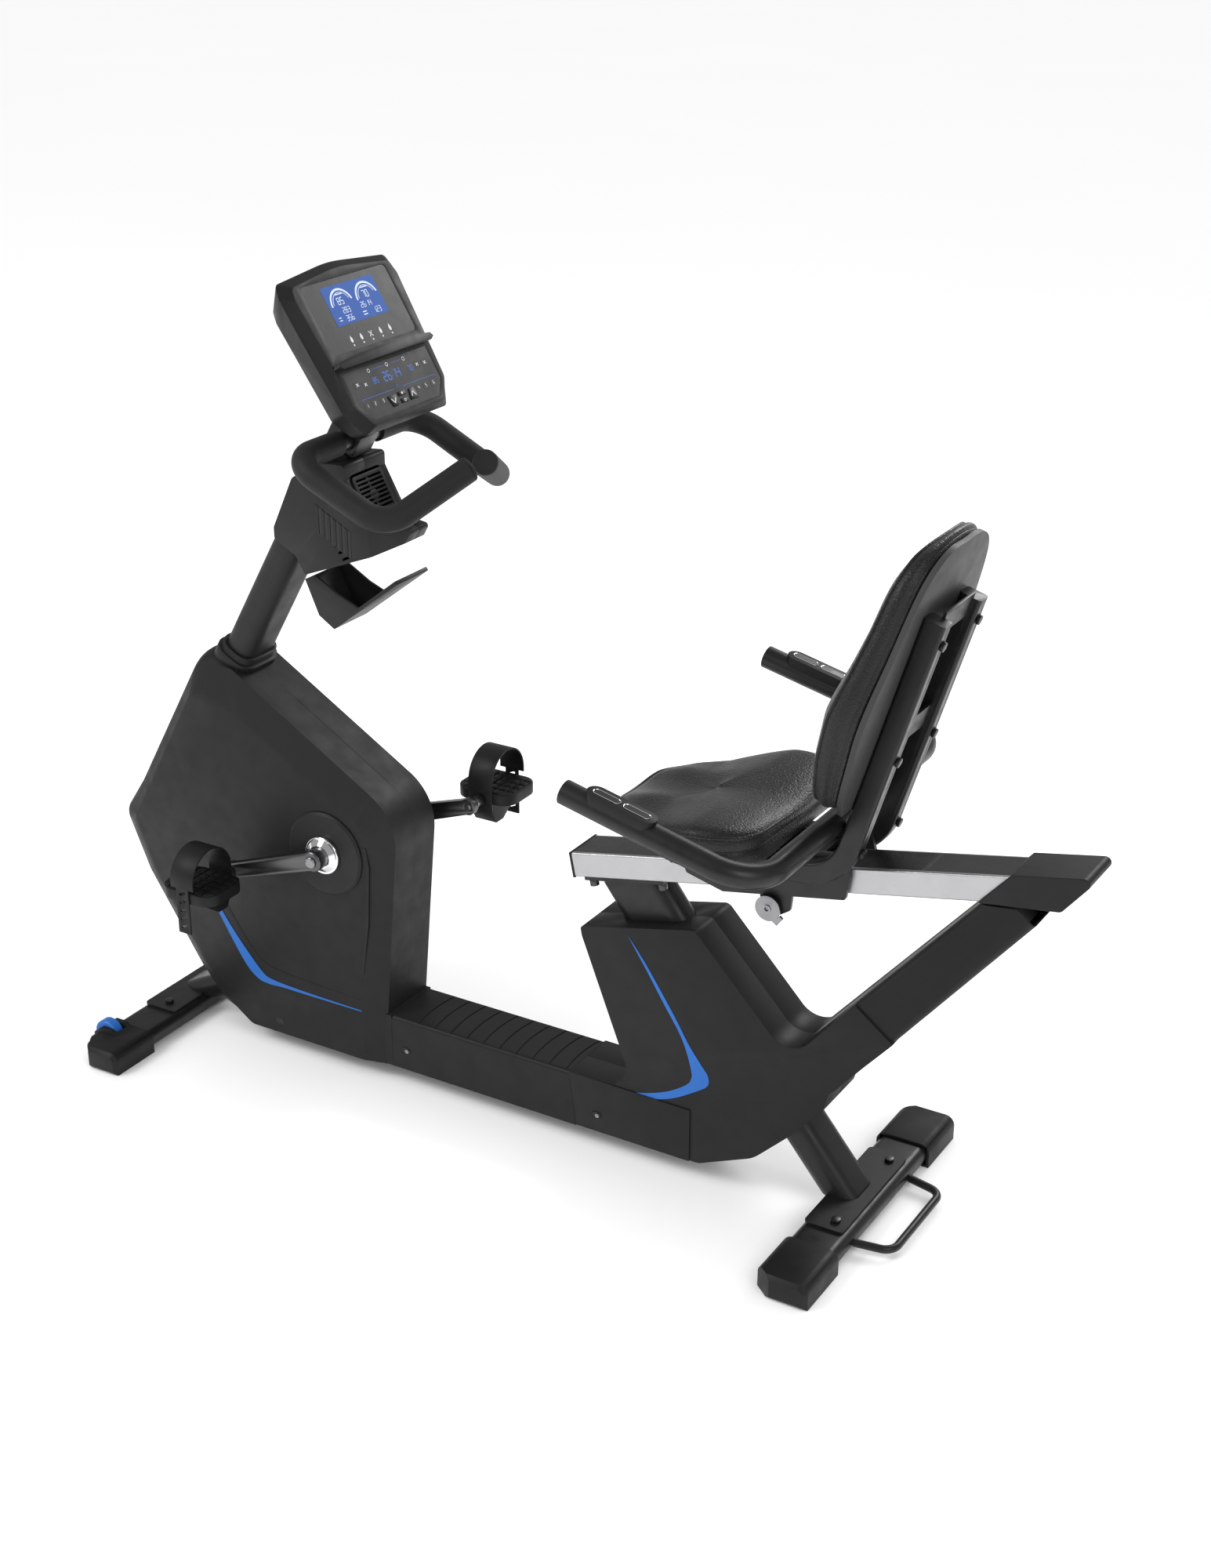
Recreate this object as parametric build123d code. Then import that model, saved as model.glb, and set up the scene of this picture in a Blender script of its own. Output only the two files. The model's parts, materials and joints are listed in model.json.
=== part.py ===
"""Recumbent exercise bike, drawn in millimetres with +Z up.

Everything is drawn with X = 0 on the crank axis, and moved by HALF_LENGTH_SHIFT when it is written,
so that the finished part has its origin on the floor under its middle. +X points to the back of the
bike, so a rider faces -X, and -Y is the rider's left-hand side.
"""

from build123d import *
import os
from math import acos, atan2, cos, hypot, radians, sin, sqrt

# ---- driving dimensions --------------------------------------------------------------------------

HALF_LENGTH_SHIFT = -386.59
FIT = 0.2                      # gap between pieces that only rest against each other
SLIP = 0.02                    # radial gap of a pressed or bolted shaft
RUN = 0.05                     # radial gap of a running shaft
WALL = 3.0                     # plastic shells and steel tubes

CRANK_Z = 382.0
CRANK_LENGTH = 170.0
CRANK_DOWN = 19.0              # degrees that the left crank points below forward
ARM_IN, ARM_OUT = 87.0, 103.0  # crank arm faces, from the middle plane

SHROUD_HALF = 64.0
RIM_HALF = 52.0
NOSE_FLAT = 12.0
BEAM_HALF = 54.0
BEAM_TOP = 120.0
BEAM_BOTTOM = 30.0

RAIL_START = (428.0, 477.0)    # top front edge of the seat rail
RAIL_SLOPE = 11.04
RAIL_LENGTH = 748.0
RAIL_HALF = 36.0
RAIL_DEPTH = 38.0

MAST_FOOT = (-181.0, 666.0)
MAST_LEAN = 30.0
MAST_DEPTH, MAST_WIDTH = 52.0, 80.0

FACE_ORIGIN = (141.4, 1087.4)  # middle of the console face's bottom edge
FACE_TILT = 31.56              # degrees that the face normal points above the horizontal

BACK_ORIGIN = (959.6, 922.0)   # a point of the plane behind the backrest
BACK_LEAN = 16.93
UPRIGHT_Y = 58.0
UPRIGHT_WIDTH, UPRIGHT_DEPTH = 27.0, 31.0

FLYWHEEL = (-225.0, 240.0)
FLYWHEEL_RADIUS = 105.0
PULLEY_RADIUS = 104.0
SMALL_PULLEY_RADIUS = 26.0
BELT_IN, BELT_OUT = 39.0, 49.0

SEAT_BAR_RADIUS = 17.0
BAR_RADIUS = 14.0
FOAM_RADIUS = 18.5

FRONT_FOOT = (-370.0, -284.0)  # front and back edges of the feet, and half-lengths
REAR_FOOT = (848.0, 934.0)
FRONT_BOLT_X, REAR_BOLT_X = -326.0, 898.0
FOOT_BOLT_Y = 90.0
FRONT_HALF, REAR_HALF = 272.0, 256.0
FOOT_HEIGHT = 36.0

LEFT, RIGHT = -1, 1            # signs of Y


# ---- helpers -------------------------------------------------------------------------------------

def outline(points, radius=0):
    """Closed side-view face from (X, Z) corners, with one radius or one for each corner."""
    if radius == 0:
        edge = Polyline(*points, close=True)
    else:
        edge = FilletPolyline(*points, radius=radius, close=True)
    return make_face(Plane.XZ * edge)


def slab(points, y0, y1, radius=0):
    """Side-view outline given thickness from y0 to y1."""
    return Pos(0, y0, 0) * extrude(outline(points, radius), amount=y1 - y0, dir=(0, 1, 0))


def box(x0, x1, y0, y1, z0, z1):
    return Pos((x0 + x1) / 2, (y0 + y1) / 2, (z0 + z1) / 2) * Box(x1 - x0, y1 - y0, z1 - z0)


def cross_pin(x, z, radius, y0, y1):
    """Cylinder along Y."""
    return Pos(x, (y0 + y1) / 2, z) * Rot(90, 0, 0) * Cylinder(radius, abs(y1 - y0))


def ring(x, z, outer, inner, y0, y1):
    return cross_pin(x, z, outer, y0, y1) - cross_pin(x, z, inner, y0 - 1, y1 + 1)


def side_plane(start, direction, y=0.0):
    """Plane square to a side-view direction, with its own x along Y."""
    return Plane(origin=(start[0], y, start[1]), x_dir=(0, 1, 0),
                 z_dir=(direction[0], 0, direction[1]))


def tube(start, end, depth, width, corner, y=0.0):
    """Straight bar between two side-view points: depth in the side view, width along Y."""
    length = hypot(end[0] - start[0], end[1] - start[1])
    way = ((end[0] - start[0]) / length, (end[1] - start[1]) / length)
    return extrude(side_plane(start, way, y) * RectangleRounded(width, depth, corner), amount=length)


def hollow(pieces, wall=WALL):
    """Union of tubes with one connected inside. Each piece is (start, end, depth, width, corner, y)."""
    solid, core = None, None
    for start, end, depth, width, corner, y in pieces:
        outer = tube(start, end, depth, width, corner, y)
        inner_corner = max(corner - wall, 1.0)
        length = hypot(end[0] - start[0], end[1] - start[1])
        step = ((end[0] - start[0]) / length * wall, (end[1] - start[1]) / length * wall)
        near, far = (start[0] + step[0], start[1] + step[1]), (end[0] - step[0], end[1] - step[1])
        inner = tube(near, far, depth - 2 * wall, width - 2 * wall, inner_corner, y)
        solid = outer if solid is None else solid + outer
        core = inner if core is None else core + inner
    return solid, core


def mirror_y(shape):
    return mirror(shape, about=Plane.XZ)


def both_sides(shape):
    return shape + mirror_y(shape)


def bent_wire(points, bend):
    """Path through 3-D corners with round bends of one radius."""
    corners = [Vector(*p) for p in points]
    edges, last = [], corners[0]
    for before, corner, after in zip(corners, corners[1:], corners[2:]):
        to_before = (before - corner).normalized()
        to_after = (after - corner).normalized()
        half = acos(max(-1.0, min(1.0, to_before.dot(to_after)))) / 2
        reach = bend * cos(half) / sin(half)
        middle = (to_before + to_after).normalized()
        top = corner + middle * (bend / sin(half) - bend)
        start, end = corner + to_before * reach, corner + to_after * reach
        edges += [Edge.make_line(last, start), Edge.make_three_point_arc(start, top, end)]
        last = end
    return Wire(edges + [Edge.make_line(last, corners[-1])])


def round_bar(points, bend, radius, hole=0.0):
    """Round bar or tube along a bent path."""
    path = bent_wire(points, bend)
    start = Plane(origin=path @ 0, z_dir=path % 0)
    bar = sweep(start * Circle(radius), path=path)
    return bar - sweep(start * Circle(hole), path=path) if hole else bar


def along_rail(distance, above=0.0):
    """(X, Z) of a point at a distance along the rail's top line and above it."""
    c, s = cos(radians(RAIL_SLOPE)), sin(radians(RAIL_SLOPE))
    return RAIL_START[0] + c * distance - s * above, RAIL_START[1] + s * distance + c * above


def rail_box(d0, d1, y0, y1, h0, h1):
    """Box in the rail's own directions: along, across and above its top."""
    corners = [along_rail(d0, h0), along_rail(d1, h0), along_rail(d1, h1), along_rail(d0, h1)]
    return slab(corners, y0, y1)


def on_mast(distance, rearward=0.0):
    """(X, Z) of a point at a distance up the mast and rearward of its axis."""
    a = radians(MAST_LEAN)
    return (MAST_FOOT[0] + sin(a) * distance + cos(a) * rearward,
            MAST_FOOT[1] + cos(a) * distance - sin(a) * rearward)


def mast_bar(d0, d1, depth, width, corner):
    return tube(on_mast(d0), on_mast(d1), depth, width, corner)


def face_plane(behind=0.0):
    """Plane of the console face: x across to the bike's left as read, y up the face, z to the rider."""
    a = radians(FACE_TILT)
    return Plane(origin=(FACE_ORIGIN[0] - cos(a) * behind, 0, FACE_ORIGIN[1] - sin(a) * behind),
                 x_dir=(0, 1, 0), z_dir=(cos(a), 0, sin(a)))


def back_plane(ahead=0.0):
    """Plane of the backrest: x across, y up along it, z forward to the rider."""
    a = radians(BACK_LEAN)
    return Plane(origin=(BACK_ORIGIN[0] - cos(a) * ahead, 0, BACK_ORIGIN[1] + sin(a) * ahead),
                 x_dir=(0, -1, 0), z_dir=(-cos(a), 0, sin(a)))


def crank_eye(side):
    """(X, Z) of the pedal axle."""
    a = radians(CRANK_DOWN)
    return (side * CRANK_LENGTH * cos(a), CRANK_Z + side * CRANK_LENGTH * sin(a))


# ---- frame ---------------------------------------------------------------------------------------

POST_TOP = (508.0, 460.0)
STRUT_FOOT, STRUT_TOP = (697.0, 80.0), (1096.0, 549.0)
LEG_TOP, LEG_FOOT = (745.0, 189.0), (880.0, 24.0)
FRONT_LEG_TOP, FRONT_LEG_FOOT = (-203.0, 86.0), (-335.0, 19.0)
MAST_STUB = (-110.0, 118.0)


def foot_cut():
    """Everything below the two saddle plates, which the legs are cut back to."""
    front = box(-420, -240, -100, 100, -60, FOOT_HEIGHT - 2)
    rear = box(830, 1000, -100, 100, -60, FOOT_HEIGHT - 2)
    return front + rear


def saddle_plates():
    """Steel plates that sit on the stabilisers, with their bolt holes."""
    plates = None
    for x0, x1 in (FRONT_FOOT, REAR_FOOT):
        plate = box(x0 + 9, x1 - 16, -112, 112, FOOT_HEIGHT - 2, FOOT_HEIGHT + 2)
        plate = fillet(plate.edges().filter_by(Axis.Z), 8)
        plates = plate if plates is None else plates + plate
    for x in (FRONT_BOLT_X, REAR_BOLT_X):
        for y in (-FOOT_BOLT_Y, FOOT_BOLT_Y):
            plates -= Pos(x, y, FOOT_HEIGHT) * Cylinder(4.2, 20)
    return plates


def flywheel_plates():
    """Two ears on the upright that carry the flywheel's bearings."""
    ear = slab([(-225, 278), (-150, 320), (-130, 210), (-225, 202)], 12, 26, 12)
    ear += cross_pin(*FLYWHEEL, 24, 12, 26)
    ears = both_sides(ear)
    return ears - cross_pin(*FLYWHEEL, 16, -30, 30)


def rail_saddles():
    """Plates under the rail, at the seat post and at the back strut."""
    front = rail_box(14, 148, -34, 34, -RAIL_DEPTH - 5, -RAIL_DEPTH - FIT)
    rear = rail_box(640, 700, -30, 30, -RAIL_DEPTH - 5, -RAIL_DEPTH - FIT)
    plates = front + rear
    for distance in (26, 142):
        for y in (-28.0, 28.0):
            x, z = along_rail(distance, -RAIL_DEPTH)
            plates -= Pos(x, y, z) * Rot(0, -RAIL_SLOPE, 0) * Cylinder(4.2, 30)
    return plates


def main_frame():
    """Welded steel frame: base beam, upright, crank shell, mast stub, seat post, strut and legs."""
    tubes = [
        ((-192, 77), (688, 77), 56, 70, 8, 0),
        (FRONT_LEG_TOP, FRONT_LEG_FOOT, 46, 72, 18, 0),
        ((-95, 90), (-232, 560), 50, 40, 6, 0),
        ((-170, 368), (-8, CRANK_Z), 40, 36, 5, 0),
        ((2, CRANK_Z - 10), (24, 90), 40, 36, 5, 0),
        (POST_TOP, (748, 140), 100, 50, 22, 0),
        (STRUT_FOOT, STRUT_TOP, 50, 60, 8, 0),
        (LEG_TOP, LEG_FOOT, 50, 72, 20, 0),
        (on_mast(MAST_STUB[0]), on_mast(MAST_STUB[1]), 46.6, 74.6, 19, 0),
    ]
    solid, core = hollow(tubes)
    above_post = rail_box(-80, 260, -60, 60, -RAIL_DEPTH - 5, 60)
    above_strut = rail_box(560, 800, -60, 60, -RAIL_DEPTH - 5, 60)
    frame = solid - core - above_post - above_strut - foot_cut()
    frame += saddle_plates() + rail_saddles()
    frame += flywheel_plates()
    frame += cross_pin(0, CRANK_Z, 24, -34, 34)
    frame -= cross_pin(0, CRANK_Z, 19, -40, 40)
    return frame


def stabiliser(edges, half):
    """Steel floor bar with rounded corners, a little clear of the floor."""
    x0, x1 = edges
    bar = box(x0 + 5, x1 - 5, -half + 24, half - 24, 4, FOOT_HEIGHT - 2 - FIT)
    bar = fillet(bar.edges().filter_by(Axis.Y), 13)
    inside = box(x0 + 8, x1 - 8, -half + 20, half - 20, 7, FOOT_HEIGHT - 5 - FIT)
    bar -= fillet(inside.edges().filter_by(Axis.Y), 10)
    for y in (-FOOT_BOLT_Y, FOOT_BOLT_Y):
        bar -= Pos(FRONT_BOLT_X if x0 < 0 else REAR_BOLT_X, y, FOOT_HEIGHT) * Cylinder(4.2, 20)
    return bar


def end_cap(edges, half, inner):
    """Moulded sleeve over one end (+Y) of a stabiliser, chamfered at its outer end."""
    x0, x1 = edges
    cap = box(x0, x1, inner, half, 0, FOOT_HEIGHT + 2)
    cap = fillet(cap.edges().filter_by(Axis.Y).group_by(Axis.Z)[-1], 15)
    outer = cap.faces().sort_by(Axis.Y)[-1]
    cap = chamfer(outer.edges(), 6)
    cut = 46 if x0 < 0 else 24
    corner = extrude(make_face(Polyline((x0 - 1, half - cut), (x0 - 1, half + 1),
                                        (x0 + 30, half + 1), close=True)), amount=60)
    cap -= Pos(0, 0, -5) * corner
    cap -= box(x0 + 4.6, x1 - 4.6, inner - 1, half - 23, 3.6, FOOT_HEIGHT - 1.8)
    return cap


def front_end_caps():
    """Caps of the front bar, with a slot for each transport wheel."""
    cap = end_cap(FRONT_FOOT, FRONT_HALF, 180)
    cap += slab([(-372, 6), (-372, 34), (-358, 44), (-338, 44), (-322, 36), (-322, 6)], 182, 222, 5)
    cap -= box(-366, FRONT_FOOT[1] - 4.6, 179, FRONT_HALF - 23, 3.6, FOOT_HEIGHT - 1.8)
    cap -= box(-400, -330, 191, 213, -1, 70)
    cap -= cross_pin(WHEEL[0], WHEEL[1], 4.2, 178, 224)
    return both_sides(cap)


WHEEL = (-357.0, 28.0)


def transport_wheel(side):
    """Roller at the front edge of the front foot."""
    wheel = ring(*WHEEL, 23, 4.05, 192.5, 211.5)
    wheel = chamfer(wheel.edges().filter_by(GeomType.CIRCLE).group_by(SortBy.RADIUS)[-1], 2.5)
    return wheel if side == RIGHT else mirror_y(wheel)


def front_bar():
    """Front stabiliser, cut back behind the wheels."""
    bar = stabiliser(FRONT_FOOT, FRONT_HALF)
    for side in (LEFT, RIGHT):
        y0, y1 = sorted((side * 190, side * 214))
        bar -= box(-400, -329, y0, y1, -1, 70)
    return bar - both_sides(cross_pin(*WHEEL, 4.2, 178, 224))


def lift_handle():
    """Bent rod behind the rear foot for tipping the bike onto its wheels."""
    path = [(920, -96, 16), (984, -84, 14), (984, 84, 14), (920, 96, 16)]
    rod = round_bar(path, 22, 6)
    return rod - box(860, REAR_FOOT[1] - 5 + FIT, -200, 200, 0, 60)


# ---- front shroud --------------------------------------------------------------------------------

CENTRE_OUTLINE = [(-175, 647), (-234, 682), (-391, 411), (-433, 352), (-391, 252), (-291, 96),
                  (-243, 45), (-180, 28), (94, 28), (97, 121), (129, 464)]
PANEL_OUTLINE = [(-171, 578), (-246, 603), (-352, 414), (-388, 352), (-352, 262), (-262, 122),
                 (-222, 66), (-172, 30), (56, 30), (59, 121), (79, 432)]
OUTLINE_RADII = [20, 44, 30, 22, 60, 40, 40, 40, 3, 20, 88]
NOSE_CORNERS = range(1, 8)
INSIDE_SCALE = 0.975            # size of the shell's inside against its outside
SHROUD_STATIONS = [0.1, NOSE_FLAT, 24, 34, 42, 48, RIM_HALF, SHROUD_HALF]


def shroud_wire(y, scale=1.0):
    """Side outline of the shroud at a distance y from the middle plane."""
    turn = max(0.0, (y - NOSE_FLAT) / (SHROUD_HALF - NOSE_FLAT))
    nose = 1 - sqrt(max(0.0, 1 - turn * turn))
    bevel = max(0.0, (y - RIM_HALF) / (SHROUD_HALF - RIM_HALF))
    points = []
    for i, (middle, panel) in enumerate(zip(CENTRE_OUTLINE, PANEL_OUTLINE)):
        share = nose if i in NOSE_CORNERS else bevel
        x = middle[0] + (panel[0] - middle[0]) * share
        z = middle[1] + (panel[1] - middle[1]) * share
        points.append((-130 + (x + 130) * scale, 320 + (z - 320) * scale))
    radii = [r * (0.5 if y == SHROUD_HALF else 1.0) for r in OUTLINE_RADII]
    wire = FilletPolyline(*points, radius=radii, close=True)
    return Pos(0, y * (0.94 if scale < 1 else 1.0), 0) * (Plane.XZ * wire)


def shroud_body(scale=1.0):
    """Half of the shroud as a solid, or its slightly smaller inside."""
    faces = [make_face(shroud_wire(y, scale)) for y in SHROUD_STATIONS]
    return loft(faces, ruled=True)


def shroud_half(side):
    """One moulded half: shell, crank hole, mast hole, leg and beam openings."""
    half = shroud_body() - shroud_body(INSIDE_SCALE) - box(-400, 80, -0.05, 0.35, 40, 600)
    half += slab([(88, 30), (104, 30), (104, BEAM_TOP), (92, BEAM_TOP)], 0.1, BEAM_HALF)
    half -= box(70, 120, -1, BEAM_HALF - 12, 40, BEAM_TOP - 10)
    half -= cross_pin(0, CRANK_Z, 28, 40, 80)
    half -= mast_bar(-160, 80, MAST_DEPTH + 1, MAST_WIDTH + 1, 22)
    half -= tube(FRONT_LEG_TOP, (-361, 5.8), 48, 74, 19)
    return half if side == RIGHT else mirror_y(half)


def mast_collar():
    """Low stepped collar that closes the shroud round the mast."""
    collar = mast_bar(-48, -3, MAST_DEPTH + 22, MAST_WIDTH + 14, 27)
    collar += mast_bar(-48, 9, MAST_DEPTH + 11, MAST_WIDTH + 8, 25)
    collar -= mast_bar(-60, 90, MAST_DEPTH + 0.6, MAST_WIDTH + 0.6, 22)
    return collar - both_sides(shroud_body())


def crank_discs():
    """Round cover plate on each side of the shroud, round the crank neck."""
    disc = cross_pin(0, CRANK_Z, 69, SHROUD_HALF + FIT, 70)
    disc = chamfer(disc.edges().filter_by(GeomType.CIRCLE).sort_by(Axis.Y)[-1], 3.5)
    disc -= cross_pin(0, CRANK_Z, 16, 40, 80)
    disc += ring(0, CRANK_Z, 27.8, 16, 60.5, SHROUD_HALF + FIT)
    return both_sides(disc)


# ---- base and rear covers ------------------------------------------------------------------------

GROOVES = 10
GROOVE_PITCH = 30.0
GROOVE_CURVE = 222.0


def step_cover():
    """Low step-through cover over the base beam, with curved grip grooves across its top."""
    points = [(104.4, BEAM_BOTTOM), (444.6, BEAM_BOTTOM), (431.6, BEAM_TOP), (104.4, BEAM_TOP)]
    cover = slab(points, -BEAM_HALF, BEAM_HALF)
    top = cover.edges().filter_by(lambda e: e.center().Z > BEAM_TOP - 1 and abs(e.center().Y) > 50)
    cover = fillet(top, 7)
    cover -= box(90, 460, -BEAM_HALF + WALL, BEAM_HALF - WALL, BEAM_BOTTOM + WALL, BEAM_TOP - 5)
    for i in range(GROOVES):
        x = 150 + i * GROOVE_PITCH + GROOVE_CURVE
        groove = Pos(x, 0, BEAM_TOP) * (Cylinder(GROOVE_CURVE + 1.2, 3) - Cylinder(GROOVE_CURVE - 1.2, 3))
        cover -= groove & box(100, 440, -BEAM_HALF, BEAM_HALF, BEAM_TOP - 1.5, BEAM_TOP + 2)
    return cover


COLUMN_OUTLINE = [(445, 31), (655, 31), (745, 70), (800, 124), (852, 184), (860, 214), (952, 321),
                  (892, 367), (797, 250), (642, 414), (452, 371), (455, 356), (546, 120), (432, 120)]
COLUMN_RADII = [2, 30, 60, 10, 4, 4, 1, 1, 40, 12, 5, 5, 32, 1]


def strut_loft(extra, start=0.0):
    """Tapered bar of the rear strut, grown or shrunk all round by extra."""
    foot, head = (835 + start, 241.5 + start * 1.176), (1108.5, 566.7)
    length = hypot(head[0] - foot[0], head[1] - foot[1])
    way = ((head[0] - foot[0]) / length, (head[1] - foot[1]) / length)
    low = side_plane(foot, way) * RectangleRounded(100 + 2 * extra, 79 + 2 * extra, 9)
    high = side_plane(head, way) * RectangleRounded(82 + 2 * extra, 68 + 2 * extra, 9)
    return loft([low, high])


def rear_cover_body():
    """Column, beam and strut covers as one solid."""
    body = slab(COLUMN_OUTLINE, -51.6, 51.6, COLUMN_RADII)
    body += slab([(445, 31), (640, 31), (640, 118), (432, 120)], -BEAM_HALF, BEAM_HALF)
    limit = slab([(700, 100), (1060, 100), (1175, 573), (1052, 559), (700, 500)], -80, 80)
    return body + (strut_loft(0) & limit)


def rear_cover_half(side):
    """One half of the rear cover, hollow round the post, strut and beam."""
    inner = offset(outline(COLUMN_OUTLINE), -WALL, kind=Kind.INTERSECTION)
    cavity = Pos(0, -48.5, 0) * extrude(inner, amount=97, dir=(0, 1, 0))
    cavity += strut_loft(-WALL)
    cavity += tube((1050, 495), (1140, 601), 62, 76, 6)
    cavity += box(400, 520, -48.5, 48.5, BEAM_BOTTOM + 4, BEAM_TOP - 5)
    cavity += tube((523, 440), (640, 284), 101, 51, 22)
    cavity += tube((770, 158.5), (900, -0.6), 52, 74, 20)
    shell = rear_cover_body() - cavity
    half = box(400, 1250, 0.1, 100, 0, 700) if side == RIGHT else box(400, 1250, -100, -0.1, 0, 700)
    return shell & half


# ---- rail ----------------------------------------------------------------------------------------

def seat_rail():
    """Aluminium extrusion that the seat slides on."""
    rail = rail_box(0, RAIL_LENGTH, -RAIL_HALF, RAIL_HALF, -RAIL_DEPTH, 0)
    rail = fillet(rail.edges().filter_by(lambda e: e.length > RAIL_LENGTH - 1), 3)
    rail -= rail_box(-1, RAIL_LENGTH + 1, -RAIL_HALF + 4, RAIL_HALF - 4, -RAIL_DEPTH + 4, -6)
    rail -= rail_box(-1, RAIL_LENGTH + 1, -RAIL_HALF + 5, RAIL_HALF - 5, -1.6, 1)
    for distance in (26, 142):
        for y in (-28.0, 28.0):
            x, z = along_rail(distance, -RAIL_DEPTH)
            rail -= Pos(x, y, z) * Rot(0, -RAIL_SLOPE, 0) * Cylinder(4.2, 12)
    return rail


def rail_top_strip():
    """Dark glossy wear strip let into the top of the rail."""
    edge = RAIL_HALF - 5 - SLIP
    return rail_box(0, RAIL_LENGTH, -edge, edge, -1.6, 0)


def rail_end_caps():
    """Thin cap on the front of the rail and the boxed cover over its back end."""
    front = rail_box(-4, -FIT, -36.6, 36.6, -RAIL_DEPTH - 0.6, 0.6)
    front = chamfer(front.edges().group_by(Axis.X)[0], 0.8)
    rear = slab([(1053, 560.3), (1098, 612), (1215, 634.8), (1168, 576)], -41, 41, [2, 3, 8, 10])
    rear = fillet(rear.edges().filter_by(lambda e: abs(e.center().Y) > 40.9), 2)
    rear -= rail_box(500, RAIL_LENGTH + FIT, -RAIL_HALF - 0.5, RAIL_HALF + 0.5, -RAIL_DEPTH - 6, 0.4)
    return front + rear


# ---- crank drive ---------------------------------------------------------------------------------

def crank_spindle():
    """Spindle with its two necks and the domed nuts on its ends."""
    spindle = cross_pin(0, CRANK_Z, 8.5, -ARM_OUT, ARM_OUT)
    neck = cross_pin(0, CRANK_Z, 15, 52, ARM_IN - FIT)
    nut = cross_pin(0, CRANK_Z, 9.5, ARM_OUT + FIT, ARM_OUT + 4)
    nut = fillet(nut.edges().filter_by(GeomType.CIRCLE).sort_by(Axis.Y)[-1], 3)
    stem = cross_pin(0, CRANK_Z, 7, ARM_OUT - 2, ARM_OUT + 2)
    return spindle + both_sides(neck + nut + stem)


def crank_collars():
    """Stepped chrome collars on the spindle, just outside the shroud discs."""
    collar = cross_pin(0, CRANK_Z, 31, 71, 76)
    collar = fillet(collar.edges().filter_by(GeomType.CIRCLE).sort_by(Axis.Y)[-1], 2)
    collar += Pos(0, 79, CRANK_Z) * Rot(-90, 0, 0) * Cone(27, 19, 6)
    collar -= cross_pin(0, CRANK_Z, 15 + SLIP, 60, 90)
    return both_sides(collar)


def crank_arm(side):
    """Forged arm, tapered from the boss to the pedal eye, with bevelled edges."""
    boss = cross_pin(0, 0, 17, ARM_IN, ARM_OUT)
    eye = cross_pin(CRANK_LENGTH, 0, 13.5, ARM_IN + 2, ARM_OUT)
    web = slab([(0, -15.5), (CRANK_LENGTH, -12), (CRANK_LENGTH, 12), (0, 15.5)], ARM_IN + 2, ARM_OUT)
    arm = boss + eye + web
    arm = chamfer(arm.edges().group_by(Axis.Y)[-1], 2.4)
    arm -= cross_pin(0, 0, 8.5 + SLIP, ARM_IN - 5, ARM_OUT + 5)
    arm -= cross_pin(CRANK_LENGTH, 0, 6 + SLIP, ARM_IN - 5, ARM_OUT + 5)
    arm = Pos(0, 0, CRANK_Z) * Rot(0, -CRANK_DOWN, 0) * arm
    if side == LEFT:
        arm = Pos(0, 0, CRANK_Z) * Rot(0, 0, 180) * Pos(0, 0, -CRANK_Z) * arm
        arm = Pos(0, 0, 2 * CRANK_Z) * mirror(arm, about=Plane.XY)
    return arm


PEDAL_GAP = 25.0               # from the crank arm to the pedal
PEDAL_WIDTH = 88.0
PEDAL_LENGTH = 104.0
STRAP = 2.4


def pedal_axles():
    """Pedal spindles, screwed into the crank eyes, with their flanges."""
    axles = None
    for side in (LEFT, RIGHT):
        x, z = crank_eye(side)
        axle = cross_pin(x, z, 6, ARM_IN + 3, ARM_OUT + PEDAL_GAP + PEDAL_WIDTH - 12)
        axle += cross_pin(x, z, 9, ARM_OUT + FIT, ARM_OUT + PEDAL_GAP - 4)
        axle = axle if side == RIGHT else mirror_y(axle)
        axles = axle if axles is None else axles + axle
    return axles


def at_pedal(side, shape):
    """Puts a piece drawn round the right pedal's middle (x fore-aft, y outward) on its own axle."""
    x, z = crank_eye(side)
    middle = ARM_OUT + PEDAL_GAP + PEDAL_WIDTH / 2
    return Pos(x, side * middle, z) * (shape if side == RIGHT else mirror_y(shape))


def pedal(side):
    """Tread plate with raised blocks, and a deep weighted keel that keeps it level."""
    half = PEDAL_WIDTH / 2
    body = extrude(Pos(0, 0, -6) * RectangleRounded(PEDAL_LENGTH, PEDAL_WIDTH, 26), amount=17)
    keel = Plane.YZ * make_face(Polyline((-half, 2), (-half, -22), (-half + 12, -42), (-12, -42),
                                         (half - 8, -8), (half - 8, 2), close=True))
    body += extrude(Pos(-20, 0, 0) * keel, amount=40)
    top = extrude(Pos(0, 0, 10.5) * RectangleRounded(PEDAL_LENGTH - 6, PEDAL_WIDTH - 6, 23), amount=2.5)
    for place in GridLocations(16, 16, 6, 5):
        body += top & Pos(0, 0, 11) * place * Box(13, 13, 8)
    body -= cross_pin(0, 0, 6 + RUN, -half - 1, half - 11)
    return at_pedal(side, body)


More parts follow.
